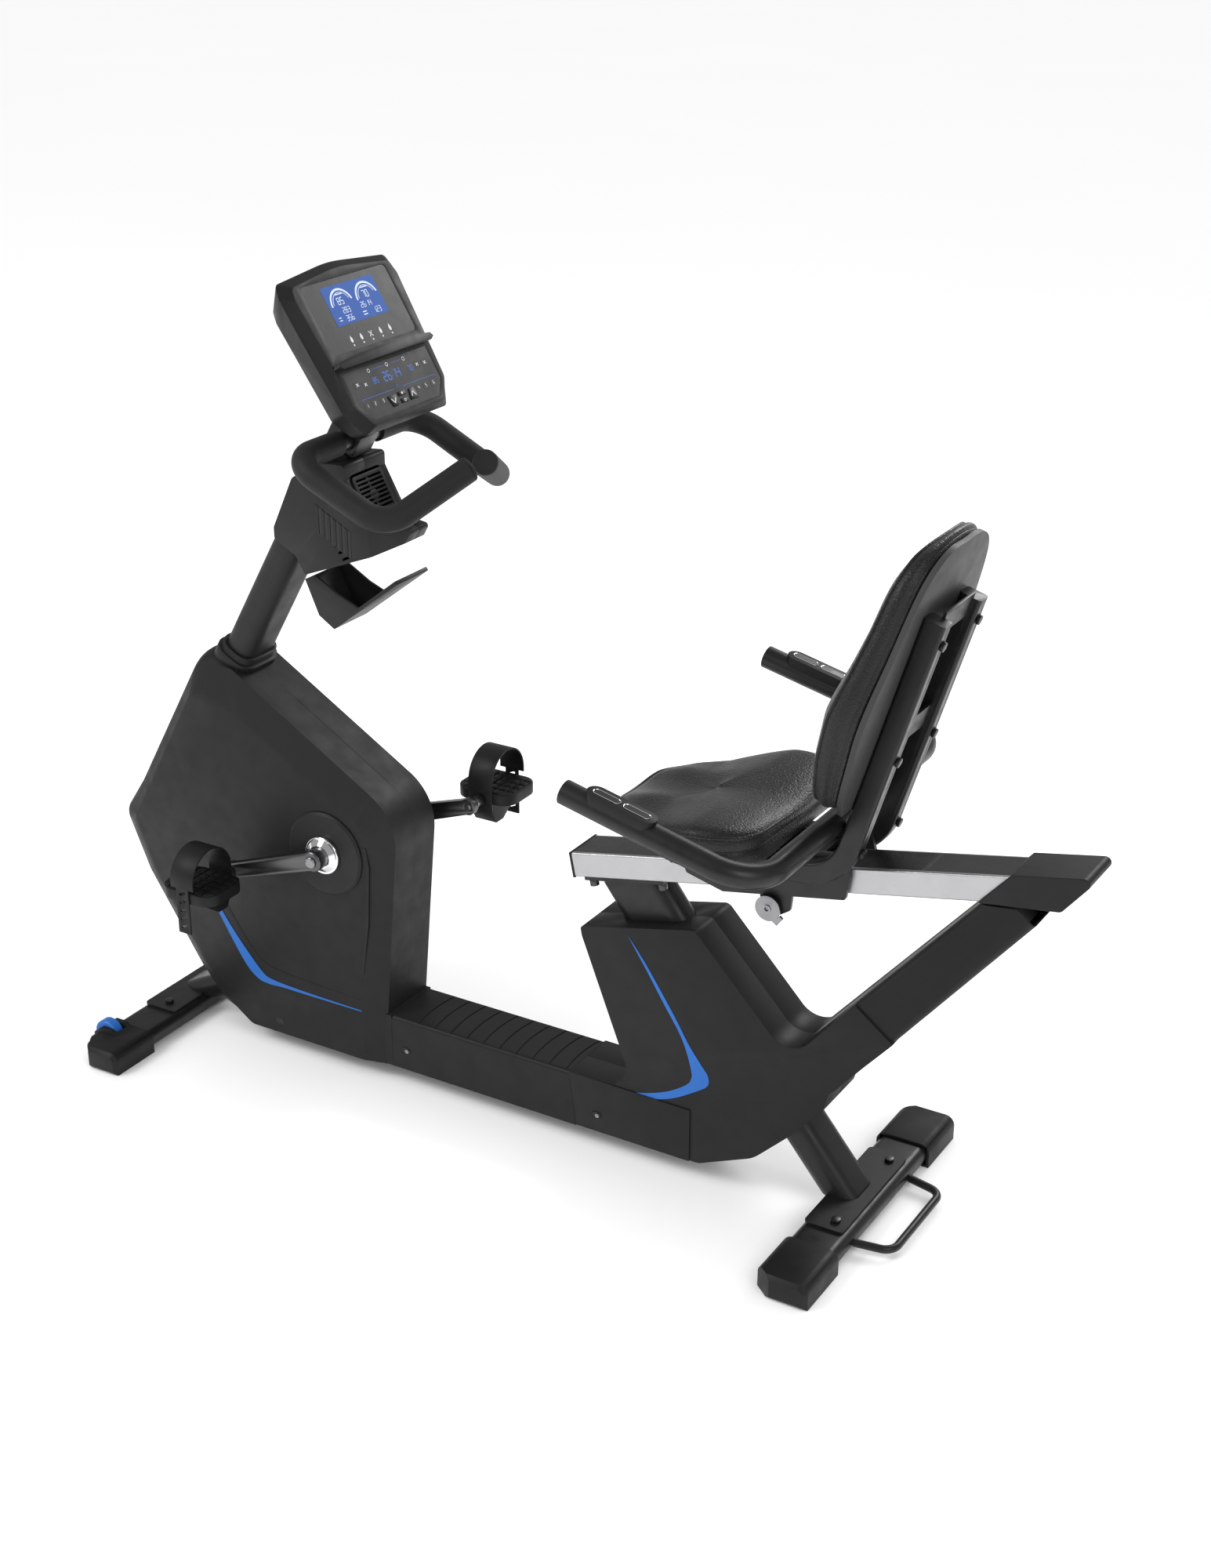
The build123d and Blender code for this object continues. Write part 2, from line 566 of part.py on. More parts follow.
def pedal_strap(side):
    """Moulded strap over the foot, hooked on the inner edge, with a slotted tail on the outer edge."""
    y = PEDAL_WIDTH / 2 + STRAP / 2 + FIT
    rise, tail = 26, 58
    arch = Edge.make_three_point_arc((0, -y, rise), (0, 0, rise + y), (0, y, rise))
    path = Wire([Edge.make_line((0, -y, -16), (0, -y, rise)), arch, Edge.make_line((0, y, rise), (0, y, -tail))])
    start = Plane(origin=(0, -y, -16), x_dir=(1, 0, 0), z_dir=(0, 0, 1))
    strap = sweep(start * Rectangle(44, STRAP), path=path)
    strap -= cross_pin(0, 0, 7.5, -y - 5, 0)
    strap -= box(-30, -12, y - 5, y + 5, -tail - 1, rise - 8)
    strap -= box(12, 30, y - 5, y + 5, -tail - 1, rise - 8)
    for i in range(5):
        strap -= Pos(0, y, -tail + 12 + i * 14) * Rot(90, 0, 0) * Rot(0, 0, 25) * \
            extrude(SlotOverall(13, 4), amount=10, both=True)
    return at_pedal(side, strap)


def drive_pulley():
    """Large belt pulley on the right of the spindle."""
    pulley = ring(0, CRANK_Z, PULLEY_RADIUS, 8.5 + SLIP, 38, 50)
    for turn in range(6):
        a = radians(60 * turn)
        pulley -= cross_pin(58 * cos(a), CRANK_Z + 58 * sin(a), 21, 30, 60)
    return pulley


def belt_band(extra):
    """Area inside a belt line that runs this far outside both pulleys."""
    dx, dz = FLYWHEEL[0], FLYWHEEL[1] - CRANK_Z
    distance = hypot(dx, dz)
    large, small = PULLEY_RADIUS + extra, SMALL_PULLEY_RADIUS + extra
    spread = acos((large - small) / distance)
    heading = atan2(dz, dx)
    quad = []
    for sign, radius, at in ((1, large, (0, CRANK_Z)), (1, small, FLYWHEEL),
                             (-1, small, FLYWHEEL), (-1, large, (0, CRANK_Z))):
        a = heading + sign * spread
        quad.append((at[0] + radius * cos(a), at[1] + radius * sin(a)))
    area = slab(quad, BELT_IN, BELT_OUT)
    return area + cross_pin(0, CRANK_Z, large, BELT_IN, BELT_OUT) \
        + cross_pin(*FLYWHEEL, small, BELT_IN, BELT_OUT)


def drive_belt():
    return belt_band(0.15 + 3) - belt_band(0.15)


def bearings():
    """Two crank bearings and two flywheel bearings."""
    crank = ring(0, CRANK_Z, 19 - SLIP, 8.5 + RUN, 22, 34)
    wheel = ring(*FLYWHEEL, 16 - SLIP, 8.5 + RUN, 14, 26)
    return both_sides(crank + wheel)


def flywheel():
    """Heavy cast wheel with a thin web."""
    wheel = ring(*FLYWHEEL, FLYWHEEL_RADIUS, 8.5 + SLIP, -47, -29)
    wheel -= ring(*FLYWHEEL, 80, 24, -48, -42)
    return chamfer(wheel.edges().filter_by(GeomType.CIRCLE).group_by(SortBy.RADIUS)[-1], 1.5)


def flywheel_shaft():
    """Shaft with the small belt pulley turned on it."""
    shaft = cross_pin(*FLYWHEEL, 8.5, -51, 52)
    shaft += cross_pin(*FLYWHEEL, SMALL_PULLEY_RADIUS, 38, 50)
    return shaft + cross_pin(*FLYWHEEL, 12, 26.5, 38)


def brake_magnet():
    """Horseshoe of magnets that straddles the rim without touching it, on its own arm."""
    x, z = FLYWHEEL[0] - 4, FLYWHEEL[1] - FLYWHEEL_RADIUS
    yoke = box(x - 34, x + 34, -51, -25, z - 12, z + 16)
    yoke -= box(x - 40, x + 40, -49, -27.2, z - 6, z + 20)
    stalk = box(x - 34, x - 14, -25.2, -20, z - 12, z + 16) + box(x - 34, x - 14, -24, -12, z - 12, z - 4)
    return yoke + stalk + box(x - 34, x - 14, -24, -12, BEAM_TOP - 15 + FIT, z - 4)


def brake_motor():
    """Small geared motor that sets the brake's gap, on top of the base beam."""
    body = box(-50, 0, -34, -4, 105 + FIT, 140)
    body = chamfer(body.edges().filter_by(Axis.Z), 3)
    return body + Pos(-36, -20, 143) * Cylinder(7, 8)


# ---- mast, housing and handlebar -----------------------------------------------------------------

MAST_TOP = 402.0
NECK_TOP = 512.0
BAR_CENTRE = (44.0, 1033.0)


def console_mast():
    """Sleeve over the mast stub, with the narrower neck that carries the bar and the console."""
    mast = mast_bar(-16, MAST_TOP, MAST_DEPTH, MAST_WIDTH, 22)
    mast -= mast_bar(-30, MAST_TOP - 4, MAST_DEPTH - 5, MAST_WIDTH - 5, 19)
    neck = tube(on_mast(MAST_TOP - 2), on_mast(NECK_TOP), MAST_DEPTH - 4, 44, 8)
    neck -= slab([on_mast(MAST_TOP + 6, 11.4), on_mast(452, 11.4), on_mast(452, 60),
                  on_mast(MAST_TOP + 6, 60)], -40, 40)
    neck -= cross_pin(*BAR_CENTRE, BAR_RADIUS + SLIP, -60, 60)
    return mast + neck


def handlebar_clamp():
    """Cap that holds the bar against the neck."""
    points = [on_mast(MAST_TOP + 7, 11.6), on_mast(451, 11.6), on_mast(448, 32), on_mast(412, 32)]
    clamp = slab(points, -22, 22)
    clamp -= cross_pin(*BAR_CENTRE, BAR_RADIUS + SLIP, -60, 60)
    return clamp


BAR_BENDS = [(44, 149, 1033), (197, 145, 960), (253, 24, 1019)]


def handlebar():
    """Front bar: across the mast, back along both sides, and in again in front of the rider."""
    right = BAR_BENDS
    left = [(x, -y, z) for x, y, z in reversed(right)]
    return round_bar(left + right, 45, BAR_RADIUS)


def handlebar_grips():
    """Foam sleeves over both sides of the front bar, closed at their ends."""
    sleeve = round_bar([(44, 46, 1033)] + BAR_BENDS, 45, FOAM_RADIUS, BAR_RADIUS + SLIP)
    end, before = Vector(*BAR_BENDS[2]), Vector(*BAR_BENDS[1])
    way = (end - before).normalized()
    plug = extrude(Plane(origin=end + way * FIT, z_dir=way) * Circle(FOAM_RADIUS), amount=6)
    plug = fillet(plug.edges().filter_by(GeomType.CIRCLE), 2.5)
    return both_sides(sleeve + plug)


HOUSING = [(-37, 972), (-76, 891), (-76, 873), (-38, 853), (-22, 826), (101, 874), (142, 894),
           (154, 914), (92, 920), (58, 982), (58, 1004), (12, 1000)]


LIP_TAPER_X = 96.0             # where the lower lip starts to narrow towards its tip


def lip_taper(start):
    """Wedge outside the lower lip's narrowing sides."""
    wedge = Polyline((start, 51), (165, 51), (165, 22), (start + 38, 25), close=True)
    return Pos(0, 0, 860) * extrude(make_face(wedge), amount=90)


def mast_housing(side):
    """Half of the moulded housing for the fan and the speakers, hollow round the mast."""
    body = slab(HOUSING, 0.1, 50, [12, 6, 6, 10, 3, 4, 6, 5, 4, 4, 6, 10])
    inner = offset(outline(HOUSING), -WALL, kind=Kind.INTERSECTION)
    cavity = Pos(0, -1, 0) * extrude(inner, amount=46, dir=(0, 1, 0))
    body -= cavity - lip_taper(LIP_TAPER_X - 2 * WALL)
    body -= mast_bar(100, 500, MAST_DEPTH + 0.8, MAST_WIDTH + 0.8, 22)
    body -= tube(*FAN_RECESS, 75, 75, 8)
    body -= lip_taper(LIP_TAPER_X)
    for i in range(7):
        x, z = 8 + i * 6.6, 915 - i * 9.2
        body -= slab([(x, z + 3), (x + 16, z + 11), (x + 17, z + 7), (x + 1, z - 1)], 44, 52)
    return body if side == RIGHT else mirror_y(body)


FAN_WAY = (cos(radians(27.3)), sin(radians(27.3)))
GRILLE_MIDDLE = (76.0, 952.5)
FAN_RECESS = ((GRILLE_MIDDLE[0] - 9 * FAN_WAY[0], GRILLE_MIDDLE[1] - 9 * FAN_WAY[1]),
              (GRILLE_MIDDLE[0] + 40 * FAN_WAY[0], GRILLE_MIDDLE[1] + 40 * FAN_WAY[1]))


def fan_plane(ahead):
    return side_plane((GRILLE_MIDDLE[0] + ahead * FAN_WAY[0], GRILLE_MIDDLE[1] + ahead * FAN_WAY[1]),
                      FAN_WAY)


def fan_grille():
    """Square louvred grille facing the rider, with the pin that the fan turns on."""
    plate = extrude(fan_plane(-6) * RectangleRounded(73, 67, 6), amount=6)
    for i in range(9):
        plate -= extrude(fan_plane(-7) * Pos(0, -26 + 6.5 * i) * Rectangle(60, 3.4), amount=9)
    plate += extrude(fan_plane(-6) * Rectangle(5, 60), amount=3)
    plate += extrude(fan_plane(-6) * Circle(9), amount=4)
    return plate + extrude(fan_plane(-24) * Circle(2), amount=20)


def fan_rotor():
    """Seven-bladed rotor behind the grille."""
    rotor = extrude(fan_plane(-22) * Circle(11), amount=13)
    for i in range(7):
        blade = Rot(0, 0, i * 360 / 7) * Pos(18, 0, 6) * Rot(35, 0, 0) * Box(18, 11, 1.6)
        rotor += fan_plane(-22).location * blade
    return rotor - extrude(fan_plane(-30) * Circle(2 + RUN), amount=30)


def bottle_holder():
    """Open tray under the housing that holds a drinking bottle."""
    outer = [(-31, 815), (-8, 762), (19, 745), (137, 835), (133, 840), (19, 751), (-4, 766), (-26, 816)]
    tray = slab(outer, -40, 40)
    cheek = slab([(-31, 815), (-8, 762), (19, 745), (70, 784), (30, 800), (-12, 824)], 36, 40)
    tray += both_sides(cheek)
    return tray - box(0, 14, -9, 9, 740, 790)


# ---- console -------------------------------------------------------------------------------------

FACE_TOP = 215.0
RIM_RISE = 13.0                # how much higher the bezel's back edge is than its face
CONSOLE_DEPTH = 52.0


def console_outline(grow, top):
    """Half-width by height along the face: wide at the top, cut in at the bottom corners."""
    points = [(84 + grow, -6 - grow / 2), (108 + grow, 26), (114 + grow, 120), (118 + grow, top - 26),
              (112 + grow, top - 6), (0, top)]
    loop = points[:-1] + [(0, top + 6)] + [(-x, y) for x, y in reversed(points[:-1])]
    radii = [10, 16, 60, 14, 10, 300, 10, 14, 60, 16, 10]
    return FilletPolyline(*loop, radius=radii, close=True)


def console_front():
    """Bezel with sloping sides, the reading ledge, and recesses for the panel, lens and keys."""
    front = face_plane(0) * make_face(console_outline(0, FACE_TOP))
    rear = face_plane(13) * make_face(console_outline(14, FACE_TOP + RIM_RISE))
    bezel = loft([rear, front], ruled=True)
    ledge = [(-112, 84), (-108, 90), (-52, 96), (52, 96), (108, 90), (112, 84), (104, 80), (-104, 80)]
    bezel += extrude(face_plane(1) * make_face(Polyline(*ledge, close=True)), amount=13)
    return bezel - panel_recess() - lens_recess()


def panel_area(grow=0.0):
    """Keypad overlay below the reading ledge."""
    points = [(78, 2), (98, 26), (99, 76), (-99, 76), (-98, 26), (-78, 2)]
    face = make_face(Polyline(*points, close=True))
    return offset(face, grow, kind=Kind.INTERSECTION) if grow else face


def panel_recess():
    return extrude(face_plane(3) * panel_area(FIT), amount=5)


def key_area(name, grow=0.0):
    """Plan of one moving key on the panel."""
    if name == "key_stop":
        return Pos(0, 24) * Rectangle(15 + grow, 6 + grow)
    if name == "key_enter":
        return Pos(0, 13.5) * Rectangle(15 + grow, 6 + grow)
    x, tip = (-23, -1) if name == "key_down" else (23, 1)
    middle = Pos(x, 18)
    shape = make_face(Polyline((-9.5, -7.5 * tip), (9.5, -7.5 * tip), (5.5, 8.5 * tip), (-5.5, 8.5 * tip),
                               close=True))
    return middle * (offset(shape, grow / 2, kind=Kind.INTERSECTION) if grow else shape)


KEYS = ("key_down", "key_up", "key_stop", "key_enter")
KEY_GAP = 0.6


def console_panel():
    """Overlay sheet in the recess, cut out for the moving keys."""
    panel = extrude(face_plane(3) * panel_area(), amount=2.7)
    for name in KEYS:
        panel -= extrude(face_plane(5) * key_area(name, KEY_GAP), amount=9)
        panel -= extrude(face_plane(2) * key_area(name, KEY_GAP), amount=9)
    return panel


def key(name):
    """Key cap: 1 mm proud of the panel, with room to travel behind it."""
    cap = extrude(face_plane(2.1) * key_area(name), amount=3)
    return cap


def lens_recess():
    return extrude(face_plane(2.4) * (Pos(0, 154) * RectangleRounded(196 + FIT * 2, 104 + FIT * 2, 8)),
                   amount=5)


def display_lens():
    """Clear window over the display and its icons."""
    return extrude(face_plane(2.4) * (Pos(0, 154) * RectangleRounded(196, 104, 8)), amount=2.2)


def console_back():
    """Rear shell of the console, hollow, with a seat for the neck."""
    top = FACE_TOP + RIM_RISE
    mouth = face_plane(13 + FIT) * make_face(console_outline(14, top))
    floor = face_plane(CONSOLE_DEPTH) * make_face(console_outline(-4, top - 22))
    shell = loft([floor, mouth], ruled=True)
    inner_mouth = face_plane(12) * make_face(console_outline(10, top - 4))
    inner_floor = face_plane(CONSOLE_DEPTH - 4) * make_face(console_outline(-8, top - 26))
    shell -= loft([inner_floor, inner_mouth], ruled=True)
    return shell - tube(on_mast(380), on_mast(540), MAST_DEPTH - 3, 45, 8)


# ---- seat ----------------------------------------------------------------------------------------

SIDE_PLATE = (38.0, 44.0)


def seat_frame():
    """Steel seat carriage: side plates on the rail, a bent tube pair up to the backrest, cross plates."""
    a = radians(BACK_LEAN)
    top = (BACK_ORIGIN[0] + 16.5 + sin(a) * 24, BACK_ORIGIN[1] + cos(a) * 24)
    knee = (top[0] - sin(a) * (top[1] - 562) / cos(a), 562)
    frame = None
    for side in (LEFT, RIGHT):
        y = side * UPRIGHT_Y
        path = bent_wire([(610, y, 536), (knee[0], y, knee[1]), (top[0], y, top[1])], 70)
        profile = Plane(origin=path @ 0, x_dir=(0, 1, 0), z_dir=path % 0) \
            * RectangleRounded(UPRIGHT_WIDTH, UPRIGHT_DEPTH, 5)
        rail_tube = sweep(profile, path=path)
        frame = rail_tube if frame is None else frame + rail_tube
        y0, y1 = sorted((side * SIDE_PLATE[0], side * (SIDE_PLATE[1] + 1)))
        plate = [along_rail(190, 14), along_rail(196, -16), along_rail(250, -RAIL_DEPTH - 4),
                 along_rail(440, -RAIL_DEPTH - 6), along_rail(452, -10), along_rail(450, 22),
                 along_rail(400, 26), along_rail(200, 20)]
        frame += slab(plate, y0, y1, 5)
    frame += rail_box(196, 400, -46, 46, 6, 11)
    frame += lock_bracket()
    for height in (20.0, -150.0):
        plate = extrude(back_plane(-20) * (Pos(0, height) * Rectangle(92, 34)), amount=4)
        frame += plate
    for height in BOLT_HEIGHTS:
        for y in (-UPRIGHT_Y, UPRIGHT_Y):
            frame -= extrude(back_plane(-60) * (Pos(y, height) * Circle(3.3)), amount=70)
    return frame


BOLT_HEIGHTS = (-1.0, -178.0, -326.0)
LOCK = (755.0, 479.0)


def lock_bracket():
    """Lugs under the rail that carry the locking shaft."""
    lug = slab([(738, 506), (790, 516), (786, 480), (762, 464), (742, 468)], 38, 44, 4)
    lug -= cross_pin(*LOCK, 6 + RUN, 30, 60)
    return both_sides(lug)


def seat_lever():
    """Locking shaft across the rail with its end disc and hook, and the hand lever on the far side."""
    lever = cross_pin(*LOCK, 6, -54, 148)
    lever += cross_pin(*LOCK, 19, -52, -48)
    lever += slab([(757, 466), (770, 456), (779, 468), (774, 472), (768, 465)], -52, -48)
    lever += cross_pin(*LOCK, 11, 28, 36)
    lever += slab([(762, 470), (762, 488), (690, 506), (686, 496)], 142, 148, 4)
    lever += tube((700, 499), (612, 521), 18, 16, 7, 145)
    return lever - cross_pin(*LOCK, 3.4, -60, -51)


SEAT_BAR = (853.0, 636.0)


def seat_handlebar():
    """One bent tube in front of the uprights and forward along both sides of the seat."""
    right = [(SEAT_BAR[0], 286, SEAT_BAR[1]), (573, 286, 704)]
    left = [(x, -y, z) for x, y, z in reversed(right)]
    return round_bar(left + right, 62, SEAT_BAR_RADIUS)


def pulse_grips():
    """Sensor housing on top of each seat grip, with its contact plates."""
    way = Vector(573 - SEAT_BAR[0], 0, 704 - SEAT_BAR[1]).normalized()
    housing = None
    for side in (LEFT, RIGHT):
        middle = Vector(655, side * 286, 684)
        plane = Plane(origin=middle, x_dir=way, z_dir=Vector(-way.Z, 0, way.X) * -1)
        body = extrude(plane * SlotOverall(104, 30), amount=23)
        bar = extrude(Plane(origin=middle - way * 90, z_dir=way) * Circle(SEAT_BAR_RADIUS + FIT), amount=180)
        body -= bar
        housing = body if housing is None else housing + body
    return housing


def seat_bolts():
    """Bolts that hold the backrest to the uprights, and the bar's two clamp bolts."""
    bolts = None
    for height in BOLT_HEIGHTS:
        for y in (-UPRIGHT_Y, UPRIGHT_Y):
            shank = extrude(back_plane(-32) * (Pos(y, height) * Circle(3)), amount=31)
            head = extrude(back_plane(-36.5) * (Pos(y, height) * Circle(7)), amount=4.8)
            bolt = shank + head
            bolts = bolt if bolts is None else bolts + bolt
    return bolts


SEAT_PLAN = [(517, 40), (531, 66), (581, 113), (640, 148), (700, 168), (752, 160), (784, 118)]
SEAT_TILT = 5.7
SEAT_CROWN = [(505, 20), (517, 44), (545, 53), (600, 50), (650, 58), (700, 65), (750, 62), (790, 50)]


def seat_cushion():
    """Plain solid for the padded seat, narrower at the front for the thighs."""
    edge = Spline(*[(784, -118), (786, 0), (784, 118)])
    right = Spline(*reversed(SEAT_PLAN), tangents=((-0.5, 1), (-1, -1)))
    left = Spline(*[(x, -y) for x, y in SEAT_PLAN], tangents=((1, -1), (0.5, 1)))
    front = Spline((517, 40), (512, 0), (517, -40))
    plan = make_face(Wire([edge.edge(), right.edge(), front.edge(), left.edge()]))
    crown = Plane.XZ * Spline(*SEAT_CROWN)
    under = Plane.XZ * Polyline(SEAT_CROWN[-1], (790, 0), (505, 0), SEAT_CROWN[0])
    profile = Pos(0, -200, 0) * extrude(make_face([crown, under]), amount=400, dir=(0, 1, 0))
    pad = extrude(plan, amount=80) & profile
    return Pos(0, 0, 497) * Rot(0, -SEAT_TILT, 0) * pad


BACK_HALVES = [(-268, 104), (-240, 122), (-180, 138), (-128, 149), (-80, 146), (-34, 134), (29, 121),
               (66, 111), (92, 96), (108, 76), (118, 44)]
BACK_TOP = 124.0


def back_face(shrink):
    """Backrest outline: widest at the lumbar, drawn in to a rounded head."""
    right = [(half - shrink, v) for v, half in BACK_HALVES]
    left = [(-x, v) for x, v in reversed(right)]
    side = Spline(*right, *[(0, BACK_TOP - shrink)], *left)
    base = Line(left[-1], right[0])
    return make_face(Wire([side.edge(), base.edge()]))


def back_cushion():
    """Plain solid for the padded backrest, drawn in towards its front."""
    sections = [(8.4, 1), (30, 3), (47, 24)]
    return loft([back_plane(ahead) * back_face(shrink) for ahead, shrink in sections], ruled=True)


def back_shell():
    """Grey moulded panel behind the backrest."""
    return extrude(back_plane(FIT) * back_face(7), amount=7.9)


# ---- fasteners -----------------------------------------------------------------------------------

def cap_screw(radius, head, length, location):
    """Round-headed screw: the shank runs down from the origin, the head stands on it."""
    screw = Pos(0, 0, -length / 2) * Cylinder(radius, length)
    screw += Pos(0, 0, head / 2) * Cylinder(radius * 1.7, head)
    return location * screw


def frame_bolts():
    """Stabiliser bolts, rail bolts, the wheels' axle bolts."""
    bolts = cross_pin(*WHEEL, 4, 184, 220)
    for x in (FRONT_BOLT_X, REAR_BOLT_X):
        bolts += cap_screw(4, 5, 28, Location((x, FOOT_BOLT_Y, FOOT_HEIGHT + 2 + FIT)))
    for distance in (26, 142):
        x, z = along_rail(distance, -RAIL_DEPTH - 5 - FIT)
        bolts += cap_screw(4, 9, 10, Location((x, 28, z), (0, 180 - RAIL_SLOPE, 0)))
    return both_sides(bolts)


# ---- writing -------------------------------------------------------------------------------------

def write(name, shape):
    export_step(Pos(HALF_LENGTH_SHIFT, 0, 0) * shape, f"parts/{name}.step")


def main():
    os.makedirs("parts", exist_ok=True)
    write("main_frame", main_frame())
    write("front_stabiliser", front_bar())
    write("rear_stabiliser", stabiliser(REAR_FOOT, REAR_HALF))
    write("front_end_caps", front_end_caps())
    write("rear_end_caps", both_sides(end_cap(REAR_FOOT, REAR_HALF, 155)))
    write("lift_handle", lift_handle())
    write("frame_bolts", frame_bolts())
    write("shroud_left", shroud_half(LEFT))
    write("shroud_right", shroud_half(RIGHT))
    write("mast_collar", mast_collar())
    write("crank_discs", crank_discs())
    write("step_cover", step_cover())
    write("rear_cover_left", rear_cover_half(LEFT))
    write("rear_cover_right", rear_cover_half(RIGHT))
    write("seat_rail", seat_rail())
    write("rail_top_strip", rail_top_strip())
    write("rail_end_caps", rail_end_caps())
    write("crank_spindle", crank_spindle())
    write("crank_collars", crank_collars())
    write("crank_left", crank_arm(LEFT))
    write("crank_right", crank_arm(RIGHT))
    write("pedal_axles", pedal_axles())
    write("pedal_left", pedal(LEFT))
    write("pedal_right", pedal(RIGHT))
    write("strap_left", pedal_strap(LEFT))
    write("strap_right", pedal_strap(RIGHT))
    write("drive_pulley", drive_pulley())
    write("drive_belt", drive_belt())
    write("bearings", bearings())
    write("flywheel", flywheel())
    write("flywheel_shaft", flywheel_shaft())
    write("brake_magnet", brake_magnet())
    write("brake_motor", brake_motor())
    write("console_mast", console_mast())
    write("handlebar_clamp", handlebar_clamp())
    write("handlebar", handlebar())
    write("handlebar_grips", handlebar_grips())
    write("mast_housing_left", mast_housing(LEFT))
    write("mast_housing_right", mast_housing(RIGHT))
    write("fan_grille", fan_grille())
    write("fan_rotor", fan_rotor())
    write("bottle_holder", bottle_holder())
    write("console_front", console_front())
    write("console_back", console_back())
    write("console_panel", console_panel())
    write("display_lens", display_lens())
    for name in KEYS:
        write(name, key(name))
    write("wheel_left", transport_wheel(LEFT))
    write("wheel_right", transport_wheel(RIGHT))
    write("seat_frame", seat_frame())
    write("seat_lever", seat_lever())
    write("seat_handlebar", seat_handlebar())
    write("pulse_grips", pulse_grips())
    write("seat_bolts", seat_bolts())
    write("seat_cushion", seat_cushion())
    write("back_cushion", back_cushion())
    write("back_shell", back_shell())


main()
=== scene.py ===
"""The looks of a recumbent exercise bike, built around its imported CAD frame. Lengths are metres."""

import json
import math

import bmesh
import bpy
import numpy as np
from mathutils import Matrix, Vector


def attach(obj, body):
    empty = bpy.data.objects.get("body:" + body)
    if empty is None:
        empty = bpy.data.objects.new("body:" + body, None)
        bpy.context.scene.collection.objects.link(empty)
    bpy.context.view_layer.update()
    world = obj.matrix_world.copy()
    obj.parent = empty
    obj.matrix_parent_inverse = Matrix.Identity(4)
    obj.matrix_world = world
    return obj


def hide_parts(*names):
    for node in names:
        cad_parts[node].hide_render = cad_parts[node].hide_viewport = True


MM = 0.001
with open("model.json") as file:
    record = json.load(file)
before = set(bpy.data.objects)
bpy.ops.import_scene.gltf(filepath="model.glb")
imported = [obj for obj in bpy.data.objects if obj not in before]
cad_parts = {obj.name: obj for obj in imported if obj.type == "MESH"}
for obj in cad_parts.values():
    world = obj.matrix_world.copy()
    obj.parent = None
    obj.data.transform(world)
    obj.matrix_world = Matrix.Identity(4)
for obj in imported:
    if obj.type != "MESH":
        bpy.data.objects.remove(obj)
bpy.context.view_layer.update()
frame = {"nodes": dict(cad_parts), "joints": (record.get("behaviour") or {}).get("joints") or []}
AXES = {joint["name"]: Vector(joint["pos_m"]) for joint in frame["joints"]}
CRANK = AXES["crank_spin"]
SIDES = (("left", -1), ("right", 1))


def at(x, y, z):
    """Point given in millimetres from the crank axis (x), the middle plane (y) and the floor (z)."""
    return Vector((CRANK.x + x * MM, y * MM, z * MM))


# ---- materials -----------------------------------------------------------------------------------

def node_tree(name):
    """New node material: (material, nodes, links, principled shader, object coordinates)."""
    material = bpy.data.materials.new(name)
    material.use_nodes = True
    nodes, links = material.node_tree.nodes, material.node_tree.links
    place = nodes.new("ShaderNodeTexCoord").outputs["Object"]
    return material, nodes, links, nodes["Principled BSDF"], place


def noise(nodes, links, place, size, detail=3.0, stretch=(1, 1, 1)):
    """Noise whose blobs measure about size metres, stretched along an axis where wanted."""
    mapping = nodes.new("ShaderNodeMapping")
    mapping.inputs["Scale"].default_value = stretch
    texture = nodes.new("ShaderNodeTexNoise")
    texture.inputs["Scale"].default_value = 1 / size
    texture.inputs["Detail"].default_value = detail
    links.new(place, mapping.inputs["Vector"])
    links.new(mapping.outputs["Vector"], texture.inputs["Vector"])
    return texture.outputs["Fac"]


def spread(nodes, links, value, low, high, start=0.3, end=0.7):
    """Maps the middle of a noise onto low to high."""
    ranged = nodes.new("ShaderNodeMapRange")
    ranged.inputs["From Min"].default_value = start
    ranged.inputs["From Max"].default_value = end
    ranged.inputs["To Min"].default_value = low
    ranged.inputs["To Max"].default_value = high
    links.new(value, ranged.inputs["Value"])
    return ranged.outputs["Result"]


def tint(nodes, links, shader, color, factor_output, dark, light):
    """Base colour that drifts between dark and light times the given colour."""
    mix = nodes.new("ShaderNodeMix")
    mix.data_type = "RGBA"
    mix.inputs[6].default_value = (*[c * dark for c in color], 1)
    mix.inputs[7].default_value = (*[min(1.0, c * light) for c in color], 1)
    links.new(factor_output, mix.inputs[0])
    links.new(mix.outputs[2], shader.inputs["Base Color"])
    return mix.outputs[2]


def relief(nodes, links, shader, heights):
    """Stacks bumps, each (height output, depth in metres)."""
    last = None
    for height, depth in heights:
        bump = nodes.new("ShaderNodeBump")
        bump.inputs["Strength"].default_value = 1.0
        bump.inputs["Distance"].default_value = depth
        links.new(height, bump.inputs["Height"])
        if last:
            links.new(last, bump.inputs["Normal"])
        last = bump.outputs["Normal"]
    links.new(last, shader.inputs["Normal"])


def moulded(name, color, roughness=0.5, grain=0.7 * MM, depth=0.05 * MM, coat=0.0):
    """Moulded plastic: fine spark texture, slow drift of tone, patches worn a little smoother."""
    material, nodes, links, shader, place = node_tree(name)
    drift = noise(nodes, links, place, 0.12, 2)
    tint(nodes, links, shader, color, drift, 0.82, 1.2)
    patches = noise(nodes, links, place, 0.03, 4)
    links.new(spread(nodes, links, patches, roughness - 0.06, roughness + 0.07),
              shader.inputs["Roughness"])
    shader.inputs["Coat Weight"].default_value = coat
    shader.inputs["Specular IOR Level"].default_value = 0.26
    fine = noise(nodes, links, place, grain, 2)
    relief(nodes, links, shader, [(fine, depth), (patches, 0.15 * MM)])
    return material


